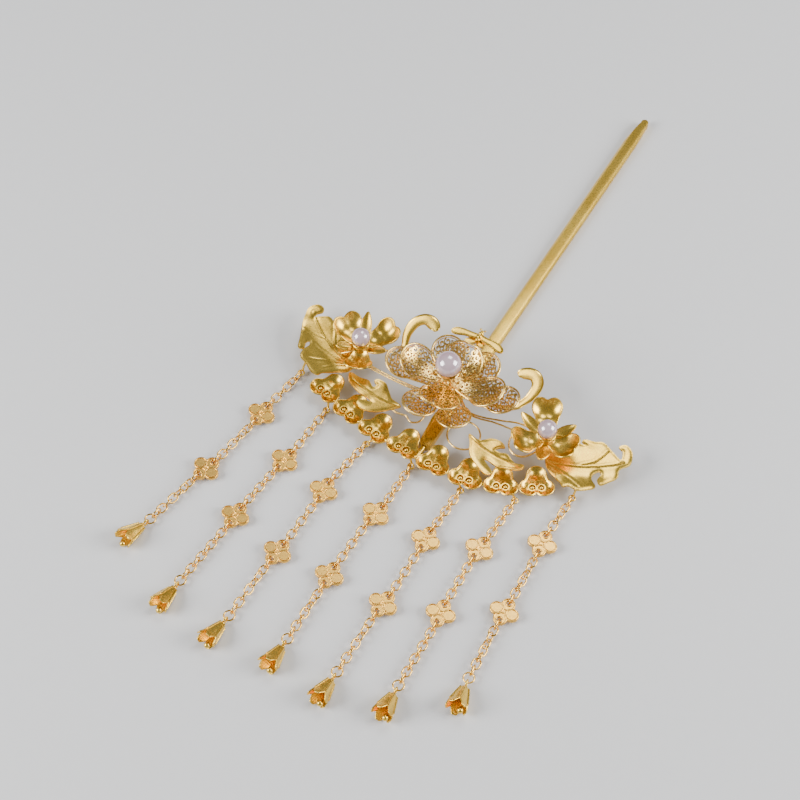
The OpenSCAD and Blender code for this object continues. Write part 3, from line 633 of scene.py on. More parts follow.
def inset_loop(loop, amount):
    """The outline moved inwards, each point square to its neighbours."""
    n = len(loop)
    moved = []
    for i in range(n):
        a, b = Vector(loop[i - 1]), Vector(loop[(i + 1) % n])
        along = (b - a).normalized()
        moved.append((loop[i][0] - along.y * amount, loop[i][1] + along.x * amount))
    return moved


def petal_test(length, half, round_r):
    """Tells whether a point lies in a petal that points along x."""
    reach, off = length - round_r, half - round_r
    corner = (reach - 0.35 * round_r, off + 0.82 * round_r)
    start, neck = 1.5, 1.9

    def inside(x, y):
        y = abs(y)
        if math.hypot(x - reach, y - off) <= round_r:
            return True
        if x < start or x > reach or (x > corner[0] and y > off + round_r * 0.5):
            return False
        if x > corner[0]:
            return y <= off
        return y <= neck + (corner[1] - neck) * (x - start) / (corner[0] - start)

    return inside


def bowl_height(radius, at):
    """Height of a round bowl whose lowest point lies at the given place along x."""

    def height(x, y):
        d = min(math.hypot(x - at, y), radius * 0.97)
        return radius - math.sqrt(radius * radius - d * d)

    return height


def new_material(name):
    material = bpy.data.materials.new(name)
    material.use_nodes = True
    return material, material.node_tree.nodes, material.node_tree.links


def fill_in(node, values):
    for label, value in values.items():
        node.inputs[label].default_value = value


def add_node(nodes, kind, values, **settings):
    """A new shader node, its settings and then its inputs filled in."""
    node = nodes.new(kind)
    for name, value in settings.items():
        setattr(node, name, value)
    fill_in(node, values)
    return node


def add_mix(nodes, **colours):
    """A node that mixes colour A into colour B."""
    values = {name: (*colour, 1) for name, colour in colours.items()}
    return add_node(nodes, "ShaderNodeMix", values, data_type="RGBA")


def connect(links, *rows):
    """Each row is a node, its output, another node and its input."""
    for source, output, target, label in rows:
        links.new(source.outputs[output], target.inputs[label])


def metal_surface_group():
    """Shade, roughness and height that change over hammered and polished metal."""
    known = bpy.data.node_groups.get("Metal surface")
    if known:
        return known
    group = bpy.data.node_groups.new("Metal surface", "ShaderNodeTree")
    colours = {"Bright", "Deep", "Color"}
    labels = {
        "INPUT": ("Bright", "Deep", "Patch size", "Grain size", "Smoothest", "Roughest"),
        "OUTPUT": ("Color", "Roughness", "Height"),
    }
    for way in labels:
        for label in labels[way]:
            kind = "NodeSocketColor" if label in colours else "NodeSocketFloat"
            group.interface.new_socket(name=label, in_out=way, socket_type=kind)
    nodes = group.nodes
    given = nodes.new("NodeGroupInput")
    made = nodes.new("NodeGroupOutput")
    place = nodes.new("ShaderNodeTexCoord")
    patches = add_node(nodes, "ShaderNodeTexNoise", {"Detail": 3})
    grain = add_node(nodes, "ShaderNodeTexNoise", {"Detail": 4, "Roughness": 0.6})
    share = add_node(nodes, "ShaderNodeMapRange", {"From Min": 0.35, "From Max": 0.7, "To Max": 0.6})
    dull = add_node(nodes, "ShaderNodeMapRange", {"From Min": 0.3, "From Max": 0.7})
    mix = add_mix(nodes)
    connect(
        group.links,
        (place, "Object", patches, "Vector"),
        (given, "Patch size", patches, "Scale"),
        (place, "Object", grain, "Vector"),
        (given, "Grain size", grain, "Scale"),
        (patches, "Fac", share, "Value"),
        (share, "Result", mix, "Factor"),
        (given, "Bright", mix, "A"),
        (given, "Deep", mix, "B"),
        (grain, "Fac", dull, "Value"),
        (given, "Smoothest", dull, "To Min"),
        (given, "Roughest", dull, "To Max"),
        (mix, "Result", made, "Color"),
        (dull, "Result", made, "Roughness"),
        (grain, "Fac", made, "Height"),
    )
    return group


def metal(name, bright, deep, smoothest, roughest, relief, grain=3500):
    """Gold whose shade, polish and fine relief change over its surface."""
    known = bpy.data.materials.get(name)
    if known:
        return known
    material, nodes, links = new_material(name)
    shader = nodes["Principled BSDF"]
    fill_in(shader, {"Metallic": 1})
    values = {
        "Bright": (*bright, 1),
        "Deep": (*deep, 1),
        "Patch size": 160,
        "Grain size": grain,
        "Smoothest": smoothest,
        "Roughest": roughest,
    }
    effect = add_node(nodes, "ShaderNodeGroup", values, node_tree=metal_surface_group())
    bump = add_node(nodes, "ShaderNodeBump", {"Strength": relief, "Distance": 0.05 * MM})
    connect(
        links,
        (effect, "Color", shader, "Base Color"),
        (effect, "Roughness", shader, "Roughness"),
        (effect, "Height", bump, "Height"),
        (bump, "Normal", shader, "Normal"),
    )
    return material


def polished_gold():
    c = finish()
    return metal("Polished gold", c.gold, c.gold_deep, 0.25, 0.31, 0.015)


def satin_gold():
    c = finish()
    return metal("Satin gold", c.gold, c.gold_deep, 0.24, 0.34, 0.07)


def plaque_gold():
    c = finish()
    return metal("Plaque gold", c.chain_gold, c.wire_deep, 0.28, 0.4, 0.1, grain=2600)


def link_gold():
    c = finish()
    return metal("Chain gold", c.chain_gold, c.wire_deep, 0.14, 0.26, 0.08)


def filigree_gold():
    """Wire gold with painted shade: it gets darker down the sides of the scrolls, where the gaps between
    them lie.
    """
    name = "Filigree gold"
    known = bpy.data.materials.get(name)
    if known:
        return known
    c = finish()
    material = metal(name, c.wire_gold, c.wire_deep, 0.18, 0.32, 0.08)
    nodes, links = material.node_tree.nodes, material.node_tree.links
    shader = nodes["Principled BSDF"]
    effect = shader.inputs["Base Color"].links[0].from_node
    # painted shade: the mark mixes the dark wire shade into the gold down each scroll's side
    painted_shade_depth = add_node(nodes, "ShaderNodeAttribute", {}, attribute_name=PAINTED_SHADE_MARK)
    shade = add_mix(nodes, B=c.wire_painted_shade)
    connect(
        links,
        (painted_shade_depth, "Fac", shade, "Factor"),
        (effect, "Color", shade, "A"),
        (shade, "Result", shader, "Base Color"),
    )
    return material


def pearl_lustre():
    """Pearl with a clear coat, faint clouds and a warm, darker edge that is partly its own tint and partly
    painted shade.
    """
    name = "Pearl lustre"
    known = bpy.data.materials.get(name)
    if known:
        return known
    c = finish()
    material, nodes, links = new_material(name)
    shader = nodes["Principled BSDF"]
    values = {
        "Roughness": 0.18,
        "Specular IOR Level": 1,
        "IOR": 1.85,
        "Coat Weight": 1,
        "Coat IOR": 1.7,
        "Coat Roughness": 0.08,
        "Subsurface Weight": 0.05,
        "Subsurface Radius": (0.001, 0.0007, 0.0007),
        "Subsurface Scale": 0.5,
    }
    fill_in(shader, values)
    place = nodes.new("ShaderNodeTexCoord")
    clouds = add_node(nodes, "ShaderNodeTexNoise", {"Scale": 260, "Detail": 2})
    facing = add_node(nodes, "ShaderNodeLayerWeight", {"Blend": 0.35})
    # partly painted shade: the body colour turns to the darker edge colour where the surface faces away from
    # the camera
    rim = add_mix(nodes, A=c.pearl_body, B=c.pearl_edge_tint_and_shade)
    warm = add_mix(nodes, B=c.pearl_cloud)
    share = add_node(nodes, "ShaderNodeMapRange", {"From Min": 0.45, "From Max": 0.75, "To Max": 0.5})
    bump = add_node(nodes, "ShaderNodeBump", {"Strength": 0.05, "Distance": 0.1 * MM})
    connect(
        links,
        (place, "Object", clouds, "Vector"),
        (facing, "Facing", rim, "Factor"),
        (clouds, "Fac", share, "Value"),
        (share, "Result", warm, "Factor"),
        (rim, "Result", warm, "A"),
        (warm, "Result", shader, "Base Color"),
        (clouds, "Fac", bump, "Height"),
        (bump, "Normal", shader, "Normal"),
    )
    return material


class HAIRSTICK_OT_shank(Operator):
    """Model the shank and its recessed lower end"""

    bl_idname = "hairstick.shank"
    bl_label = "Shank"

    def execute(self, context):
        obj = add_object("hair_stick_shank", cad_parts["hair_stick"].data.copy())
        pick(obj)
        bpy.ops.object.mode_set(mode="EDIT")
        bpy.ops.mesh.select_all(action="SELECT")
        bpy.ops.mesh.remove_doubles(threshold=1e-6)
        bpy.ops.mesh.dissolve_limited(angle_limit=math.radians(1))
        bpy.ops.object.mode_set(mode="OBJECT")
        round_edges(obj, 0.16, degrees=25, segments=3)
        make_piece(obj.name, [obj], 40, "hair_stick", satin_gold())
        return {"FINISHED"}


class HAIRSTICK_OT_wires(Operator):
    """Lay the carrying wires, their rings, plates and post"""

    bl_idname = "hairstick.wires"
    bl_label = "Wire frame"

    def execute(self, context):
        wire = mil(pin().wire_radius)
        parts = [wire_piece("wires", [smooth_line(route, 8) for route in WIRES], wire)]
        parts.append(wire_piece("ring", [ring_route(*WIRE_RING, 64)], wire, closed=True))
        for plate in WIRE_PLATES:
            disc = round_plate(*plate)
            round_edges(disc, 0.12, degrees=30)
            parts.append(disc)
        make_piece("wire_frame_wires", parts, 50, "wire_frame", filigree_gold())
        return {"FINISHED"}


def cup_lobe_reach(more):
    """Radius of a lobe, part of a ball, at the height of the rim."""
    rim_over_middle = 0.6
    return math.sqrt((mil(pin().lobe_radius) + more) ** 2 - rim_over_middle**2)


def cup_height(x, y, share):
    """Smooth floor of a shallow basin with a hollow in each lobe."""
    rim = mil(pin().cup_rim)
    depth, blend, basin_radius = 1.5, 0.14, 4.4
    lip_start, lip_high = 0.8, 0.3
    basin = 0.2 + 0.9 * (math.hypot(x - CUP_MIDDLE[0], y - CUP_MIDDLE[1]) / basin_radius) ** 2
    total = math.exp(-basin / blend)
    for lx, ly, more in CUP_LOBES[:4]:
        u = math.hypot(x - lx, y - ly) / cup_lobe_reach(more)
        total += math.exp(-min(1.5 * u * u, 4) / blend)
    lift = max(0, share - lip_start) / (1 - lip_start)
    return min(rim - depth - blend * math.log(total) + lip_high * lift * lift, rim - 0.1)


def cup_rim_loop():
    """Outline of a cup, drawn in a little so that the rolled rim stays on the lobes."""
    inset = 0.08

    def inside(x, y):
        return any(math.hypot(x - lx, y - ly) <= cup_lobe_reach(more) - inset for lx, ly, more in CUP_LOBES)

    return star_outline(inside, CUP_MIDDLE, 120, 8, soften=9)


def volute(side, place):
    """One rolled end of a cup's rim: a standing band that curls inwards from the notch."""
    steps, thick, tall, proud = 34, 0.3, 1.5, 0.15
    first_angle, sweep, radius, flare, shrink = 216, 350, 1.08, 0.28, 0.1
    top = mil(pin().cup_rim) + proud
    route = []
    for k in range(steps):
        t = k / (steps - 1)
        a = math.radians(first_angle - sweep * t)
        r = radius + flare * max(0, 1 - t * 6) ** 2 - shrink * t * t
        route.append(Vector((side * (VOLUTE[0] + r * math.cos(a)), VOLUTE[1] + r * math.sin(a), top)))
    points = []
    for k, p in enumerate(route):
        along = route[min(k + 1, steps - 1)] - route[max(k - 1, 0)]
        out = Vector((along.y, -along.x, 0)).normalized() * thick / 2
        for q, low in ((p - out, tall), (p + out, tall), (p + out, 0), (p - out, 0)):
            points.append(place @ (q - Vector((0, 0, low))))
    band = mesh_piece("volute", points, band_faces(steps, 4))
    turn_faces_out(band)
    return band


def eyelet(row):
    """The ring that a chain hangs from."""
    height = mil(hang().chain_height)
    route = ring_route(row[0], row[1], height, EYELET_RADIUS, 24)
    return wire_piece("eyelet", [route], mil(pin().wire_radius), closed=True)


def strut(row, bow, middle_z):
    """Route from an eyelet to the metal that carries it. Its middle is moved by half the bow."""
    x, y, ex, ey, top = row
    start = 0.7
    return [
        (x, y + start, mil(hang().chain_height)),
        ((x + ex) / 2, (y + bow + ey) / 2, middle_z),
        (ex, ey, top),
    ]


class HAIRSTICK_OT_cups(Operator):
    """Model the row of eight cups with volutes, bridges and eyelets"""

    bl_idname = "hairstick.cups"
    bl_label = "Cloud cups"

    def execute(self, context):
        rim = mil(pin().cup_rim)
        rim_wire, root_wire, solder_wire, foot_wire, bead_r = 0.19, 0.36, 0.45, 0.85, 0.6
        loop = cup_rim_loop()
        parts = []
        for cx, cy, angle in CUPS:
            place = shift(cx, cy, 0) @ turn(angle)
            shell = dish("cup", loop, CUP_MIDDLE, cup_height, place, 20)
            edge = [place @ Vector((x, y, cup_height(x, y, 1) + 0.02)) for x, y in loop]
            parts.append(rounded_wall(shell, 0.3, 0.08))
            parts.append(wire_piece("rim", [edge], rim_wire, closed=True))
            for side in (-1, 1):
                x, y = side * VOLUTE[0], VOLUTE[1]
                root = [place @ Vector((x, y, rim - depth)) for depth in (1.5, 0.6)]
                parts.append(volute(side, place))
                parts.append(bead(place @ Vector((x, y, rim - 0.12)), bead_r, 14, 8))
                parts.append(wire_piece("root", [root], root_wire))
        height = mil(hang().chain_height)
        for row in EYELETS[1:6]:
            route = smooth_line(strut(row, 0.7, height * 0.55 + row[4] * 0.35), 5)
            parts += [eyelet(row), wire_piece("strut", [route], STRUT_RADIUS)]
        for x, y, angle in BRIDGES:
            place = shift(x, y, rim) @ turn(angle)
            solder = [place @ Vector(p) for p in ((-0.7, 0, -0.8), (0, 0, -0.7), (0.7, 0, -0.8))]
            parts.append(wire_piece("solder", [solder], solder_wire))
        foot = [(0.1, y, 1.5) for y in (-6.6, -4.4, -2.5)]
        parts.append(wire_piece("foot", [foot], foot_wire))
        make_piece("cloud_cups_row", parts, 60, "cloud_cups", polished_gold())
        return {"FINISHED"}


def vein_tree(veins, size):
    """The veins' middle lines, and the points that lie on them and close beside them."""
    beside_gap = 0.16
    points, beside = [], []
    for route in veins:
        line = [Vector((p[0], p[1], 0)) * size for p in smooth_line(route, 16)]
        for i, p in enumerate(line):
            along = (line[min(i + 1, len(line) - 1)] - line[max(i - 1, 0)]).normalized()
            across = Vector((-along.y, along.x)) * beside_gap
            points.append(p)
            beside += [p.xy, p.xy + across, p.xy - across]
    return point_tree(points), beside


def leaf_sheet(edge, bend, veins, size, place, groove):
    """A leaf with a raised, rippled edge and grooves along its veins."""
    loop = smooth_loop([(x * size, y * size) for x, y in edge], 8)
    tree, beside = vein_tree(veins, size)
    table = [(a * size, b * size) for a, b in bend]
    wall = mil(pin().leaf_thickness)
    face_step, edge_high, ripple, swell = 0.38, 0.2, 0.05, 0.04

    def height(x, y, rim):
        z = blend_value(table, y) + wall
        z += edge_high * math.exp(-((rim / 0.5) ** 2))
        z += ripple * math.sin(x * 1.1 + y * 0.5) * math.exp(-((rim / 2) ** 2))
        d = gap_to(tree, x, y)
        return z - groove * math.exp(-((d / 0.12) ** 2)) + swell * math.exp(-(((d - 0.5) / 0.4) ** 2))

    return rounded_wall(sheet("leaf", loop, face_step, height, place, beside), wall * 0.85, 0.08)


class HAIRSTICK_OT_leaves(Operator):
    """Model the two large leaves and the two small ones"""

    bl_idname = "hairstick.leaves"
    bl_label = "Leaves"

    def execute(self, context):
        large, small = mil(pin().leaf_length), mil(pin().small_leaf_length)
        mirror = Matrix.Scale(-1, 4, (0, 1, 0))
        # columns: node, outline, bend, veins, length, place, depth of the veins, eyelet
        leaves = (
            ("leaf_left", LEAF_LEFT, LEAF_BEND, FAN_VEINS, large,
             shift(-29.7, 8.96, 5) @ turn(153.1) @ mirror, 0.07, EYELETS[0]),
            ("leaf_right", LEAF_RIGHT, LEAF_BEND, LEAF_VEINS, large,
             shift(32, 8.96, 5) @ turn(27.2), 0.11, EYELETS[6]),
            ("small_leaf_left", SMALL_LEFT, SMALL_BEND, SMALL_VEINS, small,
             shift(-10.18, 2.9, 6) @ turn(174.6) @ mirror, 0.11, None),
            ("small_leaf_right", SMALL_RIGHT, SMALL_BEND, SMALL_VEINS, small,
             shift(10.22, 4.7, 6) @ turn(-5.9), 0.11, None),
        )
        for node, *shape, row in leaves:
            parts = [leaf_sheet(*shape)]
            if row:
                route = strut(row, 0, (mil(hang().chain_height) + row[4]) / 2)
                parts += [eyelet(row), wire_piece("strut", [route], STRUT_RADIUS)]
            make_piece(node + "_sheet", parts, 60, node, satin_gold())
        return {"FINISHED"}


def scroll_strip(radius, wire_wide, wire_high):
    """Points and faces of one flat scroll, its wire standing on edge."""
    steps, first_angle, sweep, shrink = 15, 20, 425, 0.76
    corners = []
    for k in range(steps):
        t = k / (steps - 1)
        a = math.radians(first_angle + sweep * t)
        r = radius * (1 - shrink * t**1.3)
        for side, up in ((-1, 0), (1, 0), (1, 1), (-1, 1)):
            rr = r + side * wire_wide / 2
            corners.append((rr * math.cos(a), rr * math.sin(a), up * wire_high))
    return corners, band_faces(steps, 4)


def scroll_centres(loop, first, pitch):
    """Middles and sizes of scrolls laid in rows from the edge inwards, with smaller ones in the gaps."""
    edge = point_tree(loop)
    rows, steps, grid = 9, 6, 6
    apart = pitch * 0.9
    taken = []
    for row in range(rows):
        inset = first + row * pitch * 0.85
        line = inset_loop(loop, inset)
        for i, p in enumerate(line):
            q = line[(i + 1) % len(line)]
            for k in range(steps):
                x, y = p[0] + (q[0] - p[0]) * k / steps, p[1] + (q[1] - p[1]) * k / steps
                if not inside_loop(x, y, loop) or gap_to(edge, x, y) < inset * 0.97 - 0.02:
                    continue
                if all((x - a) ** 2 + (y - b) ** 2 > apart**2 for a, b, _ in taken):
                    taken.append((x, y, 1.0))
    length = int(max(p[0] for p in loop) * grid)
    spots = [(i / grid, j / grid) for i in range(length) for j in range(-6 * grid, 6 * grid + 1)]
    spots = [(x, y, gap_to(edge, x, y)) for x, y in spots if inside_loop(x, y, loop)]
    for size in (0.95, 0.8, 0.66, 0.54):
        for x, y, room in spots:
            if room <= first - pitch * 0.5 * (1 - size):
                continue
            if all(math.hypot(x - a, y - b) > pitch * 0.5 * (size + other) * 0.87 for a, b, other in taken):
                taken.append((x, y, size))
    return taken


def scroll_petal(row, base, pitch, seed, wire):
    """One petal: scrolls laid side by side on a bowl, inside a double border."""
    direction, length, half, radius, share, roundness = row
    border_r = mil(bloom().border_radius)
    liner_r, strip_high = 0.15, 0.6
    lift = base + strip_high / 2
    loop = star_outline(petal_test(length, half, half * roundness), (length * 0.58, 0), 120, length, 2)
    bowl = bowl_height(radius, length * share)
    put = shift(*FLOWER_MIDDLE, 0) @ turn(direction)

    def lay(inset, extra):
        return [put @ Vector((x, y, bowl(x, y) + lift + extra)) for x, y in inset_loop(loop, inset)]

    border = wire_piece("border", [lay(border_r, 0.22)], border_r, closed=True)
    liner = wire_piece("liner", [lay(border_r * 2 + 0.16, 0.1)], liner_r, closed=True, fineness=1)
    random.seed(seed)
    scroll_r = mil(bloom().scroll_radius) * pitch / 1.45
    corners, faces = scroll_strip(scroll_r, wire, strip_high)
    points, sides = [], []
    for x, y, share_of in scroll_centres(loop, border_r * 2 + 0.2 + scroll_r, pitch):
        angle = math.atan2(y, x - length * 0.6) + random.uniform(-0.4, 0.4)
        flip = -1 if y < 0 else 1
        size = share_of * random.uniform(0.97, 1.06)
        first = len(points)
        for cx, cy, cz in corners:
            cy *= flip
            u = x + size * (cx * math.cos(angle) - cy * math.sin(angle))
            v = y + size * (cx * math.sin(angle) + cy * math.cos(angle))
            points.append(put @ Vector((u, v, bowl(u, v) + base + cz)))
        sides += [tuple(first + i for i in face[::flip]) for face in faces]
    scrolls = mesh_piece("scrolls", points, sides)
    # painted shade: the bottom corners of each scroll are marked 1 and the top corners 0, so the wire
    # darkens towards the bottom
    painted_shade_depth = scrolls.data.attributes.new(PAINTED_SHADE_MARK, "FLOAT", "POINT")
    painted_shade_depth.data.foreach_set("value", [1.0, 1.0, 0.0, 0.0] * (len(points) // 4))
    return [border, liner, scrolls]


class HAIRSTICK_OT_filigree(Operator):
    """Lay the wire scrolls of the large flower's ten petals"""

    bl_idname = "hairstick.filigree"
    bl_label = "Filigree petals"

    def execute(self, context):
        # columns: layer, petals, height, radius and height of its plate, scroll pitch, first seed, wire
        layers = (
            ("outer", OUTER_PETALS, bloom().outer_height, 3.4, 0.9, 1.95, 10, 0.31),
            ("inner", INNER_PETALS, bloom().inner_height, 3, 0.8, 1.75, 30, 0.3),
        )
        for layer, petals, height, radius, high, pitch, seed, wire in layers:
            base = mil(height)
            parts = [round_plate(*FLOWER_MIDDLE, base, radius, high)]
            for k, row in enumerate(petals):
                parts += scroll_petal(row, base, pitch, seed + k, wire)
            node = "flower_" + layer
            make_piece(node + "_scrolls", parts, 50, node, filigree_gold())
        return {"FINISHED"}


def pearl_ball(side, middle, height, diameter):
    """A pearl that is a little uneven."""
    facets = bloom().pearl_facets
    ball = bead((0, 0, 0), diameter / 2, facets, facets // 2)
    for v in ball.data.vertices:
        n = v.co.normalized()
        v.co *= 1 - 0.006 * (1 + math.sin(3 * n.x + 2 * n.y) * math.cos(2.4 * n.z))
    ball.data.transform(Matrix.Translation(Vector((*middle, height)) * MM))
    node = "pearl_" + side
    make_piece(node + "_ball", [ball], 180, node, pearl_lustre())


def seat_curl(place):
    """Route of one curled wire under the centre pearl."""
    steps, first_angle, sweep, radius, shrink = 22, -80, 430, 1.05, 0.62
    out, high = 3.95, 19.6
    route = [place @ Vector((1, 0, 18.3)), place @ Vector((2.6, 0, 18.1))]
    for i in range(steps):
        t = i / (steps - 1)
        a = math.radians(first_angle + sweep * t)
        r = radius - shrink * t
        across, along, up = r * math.cos(a) * 0.8, 0.5 * math.sin(2 * math.pi * t), r * math.sin(a)
        route.append(place @ Vector((out + across, along, high + up)))
    return route


class HAIRSTICK_OT_pearls(Operator):
    """Model the three pearls and the curled seat of the centre one"""

    bl_idname = "hairstick.pearls"
    bl_label = "Pearls"

    def execute(self, context):
        pearl_high, side_high, curl_count, seat_r = 23, 14, 9, 4.1
        pearl_ball("center", PEARL_MIDDLE, pearl_high, mil(bloom().pearl))
        for side, middle in SIDE_MIDDLES.items():
            pearl_ball(side, middle, side_high, mil(bloom().side_pearl))
        middle = shift(*PEARL_MIDDLE, 0)
        curls = [seat_curl(middle @ turn(k * 360 / curl_count + 14)) for k in range(curl_count)]

        def cup(x, y, _):
            return pearl_high - math.sqrt(seat_r**2 - x * x - y * y)

        shell = dish("seat", ring_route(0, 0, 0, 3.1, 48), (0, 0), cup, middle, 8)
        parts = [
            round_plate(*PEARL_MIDDLE, 14.95, 1.1, 4),
            wire_piece("curls", curls, 0.26),
            rounded_wall(shell, 0.3, 0.08),
        ]
        make_piece("pearl_seat_curls", parts, 60, "pearl_seat", filigree_gold())
        return {"FINISHED"}


def orchid_petal(row, base, place):
    """One double-lobed petal and its rolled rim."""
    direction, length, half, radius, share = row
    round_r = half * 0.62
    middle = (length * 0.6, 0)
    loop = star_outline(petal_test(length, half, round_r), middle, 120, length, 4)
    bowl = bowl_height(radius, length * share)
    reach, off = length - round_r - 0.3, half - round_r
    hollows = [(reach, off, round_r), (reach, -off, round_r), (length * 0.42, 0, round_r)]

    def height(x, y, _):
        total = 0.0
        for hx, hy, r in hollows:
            u = math.hypot(x - hx, y - hy) / r
            total += math.exp(-min(0.55 * u * u, 3) / 0.12)
        return base + bowl(x, y) + 0.2 + min(-0.12 * math.log(total), 0.6)

    place = place @ turn(direction)
    shell = dish("petal", loop, middle, height, place, 18)
    edge = [place @ Vector((x, y, height(x, y, 1) - 0.12)) for x, y in inset_loop(loop, 0.06)]
    return [rounded_wall(shell, 0.35, 0.1), wire_piece("rim", [edge], 0.22, closed=True)]


def sepal(row, base, place):
    """One pointed sepal and its rolled rim."""
    direction, length, half = row
    start = 1.2
    middle = ((length + start) / 2, 0)
    run = (length - start) / 2
    arc = (run * run + half * half) / (2 * half)
    bowl = bowl_height(16, 0)

    def inside(x, y):
        return math.hypot(x - middle[0], abs(y) + arc - half) <= arc

    def height(x, y, _):
        return base + bowl(x, y) + 0.45 + 0.45 * (abs(y) / half) ** 1.6

    loop = star_outline(inside, middle, 72, length)
    place = place @ turn(direction)
    shell = dish("sepal", loop, middle, height, place, 8)
    edge = [place @ Vector((x, y, height(x, y, 1) - 0.1)) for x, y in inset_loop(loop, 0.08)]
    return [rounded_wall(shell, 0.35, 0.08), wire_piece("rim", [edge], 0.18, closed=True)]


class HAIRSTICK_OT_orchids(Operator):
    """Model the two side flowers"""

    bl_idname = "hairstick.orchids"
    bl_label = "Side flowers"

    def execute(self, context):
        base = mil(bloom().side_height)
        rows = {"left": (LEFT_PETALS, LEFT_SEPALS), "right": (RIGHT_PETALS, RIGHT_SEPALS)}
        for side, (petals, sepals) in rows.items():
            x, y = SIDE_MIDDLES[side]
            parts = [round_plate(x, y, base, 2.3, 1), round_plate(x, y, base, 1.2, 2.6)]
            for row in petals:
                parts += orchid_petal(row, base, shift(x, y, 0))
            for row in sepals:
                parts += sepal(row, base, shift(x, y, 0))
            parts.append(wire_piece("collar", [ring_route(x, y, 11.6, 2.35, 40)], 0.25, closed=True))
            node = "orchid_" + side
            make_piece(node + "_petals", parts, 60, node, polished_gold())
        return {"FINISHED"}


def horn_band(place):
    """A dished band that follows the horn's curl."""
    size, half = mil(pin().horn_height), mil(pin().horn_band) / 2
    line = smooth_line(HORN_LINE, 6)
    points = []
    for i, (x, y, width) in enumerate(line):
        a, b = line[max(i - 1, 0)], line[min(i + 1, len(line) - 1)]
        along = Vector((b[0] - a[0], b[1] - a[1])).normalized()
        for across, high in HORN_BAND:
            off = across * width * half
            points.append(place @ Vector((x * size + along.y * off, y * size - along.x * off, high)))
    band = mesh_piece("horn", points, band_faces(len(line), len(HORN_BAND)))
    turn_faces_out(band)
    return band


class HAIRSTICK_OT_horns(Operator):
    """Model the two dished horns"""

    bl_idname = "hairstick.horns"
    bl_label = "Horns"

    def execute(self, context):
        places = {
            "horn_left": shift(-18.9, 20, 10) @ Matrix.Scale(-1, 4, (1, 0, 0)),
            "horn_right": shift(19.1, 18.6, 10),
        }
        for node, place in places.items():
            make_piece(node + "_band", [horn_band(place)], 24, node, satin_gold())
        return {"FINISHED"}


def wing(outline, place):
    """A thin wing with a raised edge."""
    span = mil(pin().butterfly_span)
    loop = smooth_loop([(x * span, y * span) for x, y in outline], 6)

    def height(x, y, rim):
        return 0.45 + 0.16 * math.exp(-((rim / 0.3) ** 2))

    return rounded_wall(sheet("wing", loop, 0.25, height, place), 0.35, 0.06)


class HAIRSTICK_OT_butterfly(Operator):
    """Model the butterfly on its stem"""

    bl_idname = "hairstick.butterfly"
    bl_label = "Butterfly"

    def execute(self, context):
        at = shift(0, 28.8, 16.2)
        below = at @ shift(0, 0, -0.6)
        mirror = Matrix.Scale(-1, 4, (1, 0, 0))
        small = Matrix.Scale(0.8, 4)
        parts = [
            wing(WING_UPPER, at @ turn(-4)),
            wing(WING_LOWER, below),
            wing(WING_UPPER, at @ turn(8) @ mirror),
            wing(WING_LOWER, below @ mirror @ small),
        ]
        # columns: along, height, radius of each ball of the body
        for y, z, r in ((-1.2, 0.4, 0.75), (-0.2, 0.5, 0.85), (0.9, 0.6, 0.8), (1.5, 0.8, 0.5)):
            parts.append(bead(at @ Vector((0, y, z)), r, 20, 12))
        stem = [(0, -0.4, 0.2), (0, -1.9, -2.6), (0, -3.4, -5.1), (0, -6, -5.8), (0, -14, -5.9)]
        parts.append(wire_piece("stem", [[at @ Vector(p) for p in smooth_line(stem, 6)]], 0.35))
        feeler = smooth_line([(0.15, 1.6, 0.9), (0.6, 2.1, 1.15), (0.9, 1.9, 1.2), (0.7, 1.6, 1.1)], 5)
        feelers = [[at @ Vector((side * x, y, z)) for x, y, z in feeler] for side in (-1, 1)]
        parts.append(wire_piece("feelers", feelers, 0.14))
        make_piece("butterfly_wings", parts, 60, "butterfly", satin_gold())
        return {"FINISHED"}


def link_shape():
    """Points and faces of one link lying flat along x."""
    sizes = hang()
    wire = mil(sizes.link_wire) / 2
    bow = (mil(sizes.link_width) - 2 * wire) / 2
    straight = (mil(sizes.link_length) - mil(sizes.link_width)) / 2
    around, section = 20, 8
    points = []
    for k in range(around):
        a = math.tau * (k + 0.5) / around
        x = bow * math.cos(a) + math.copysign(straight, math.cos(a))
        y = bow * math.sin(a)
        for j in range(section):
            b = math.tau * j / section
            out = wire * math.cos(b)
            points.append((x + out * math.cos(a), y + out * math.sin(a), wire * math.sin(b)))
    return points, band_faces(around, section, closed=True)


def plaque_point(i, k):
    return Vector((RUNS[i][2 * k], RUNS[i][2 * k + 1]))


def ring_point(i):
    return Vector((RUNS[i][4], RUNS[i][5]))


def plaque_turn(i, k):
    """A plaque's turn: that of its stretch of chain, and its own in RUNS."""
    v = plaque_point(i, 1) - Vector(EYELETS[i][:2]) if k == 0 else ring_point(i) - plaque_point(i, 0)
    return math.degrees(math.atan2(v.y, v.x)) + RUNS[i][7 + k]


def plaque_hole(i, k, end):
    """Middle of a plaque's hole, end -1 towards the cups and 1 towards the bell."""
    a = math.radians(plaque_turn(i, k))
    return plaque_point(i, k) + Vector((math.cos(a), math.sin(a))) * end * mil(hang().hole_reach)


def link_places(a, b, lead_a, lead_b):
    """Places of the links between two points, each rolled against the one before."""
    v = b - a
    span = v.length - lead_a - lead_b
    gaps = math.ceil(span / mil(hang().largest_pitch))
    roll = 180 * math.floor(gaps / 2 + 0.5) / gaps
    aim = math.degrees(math.atan2(v.y, v.x))
    for k in range(gaps + 1):
        p = a + v.normalized() * (lead_a + span * k / gaps)
        tilt = Matrix.Rotation(math.radians(90 + k * roll), 4, "X")
        yield shift(p.x, p.y, mil(hang().chain_height)) @ turn(aim) @ tilt


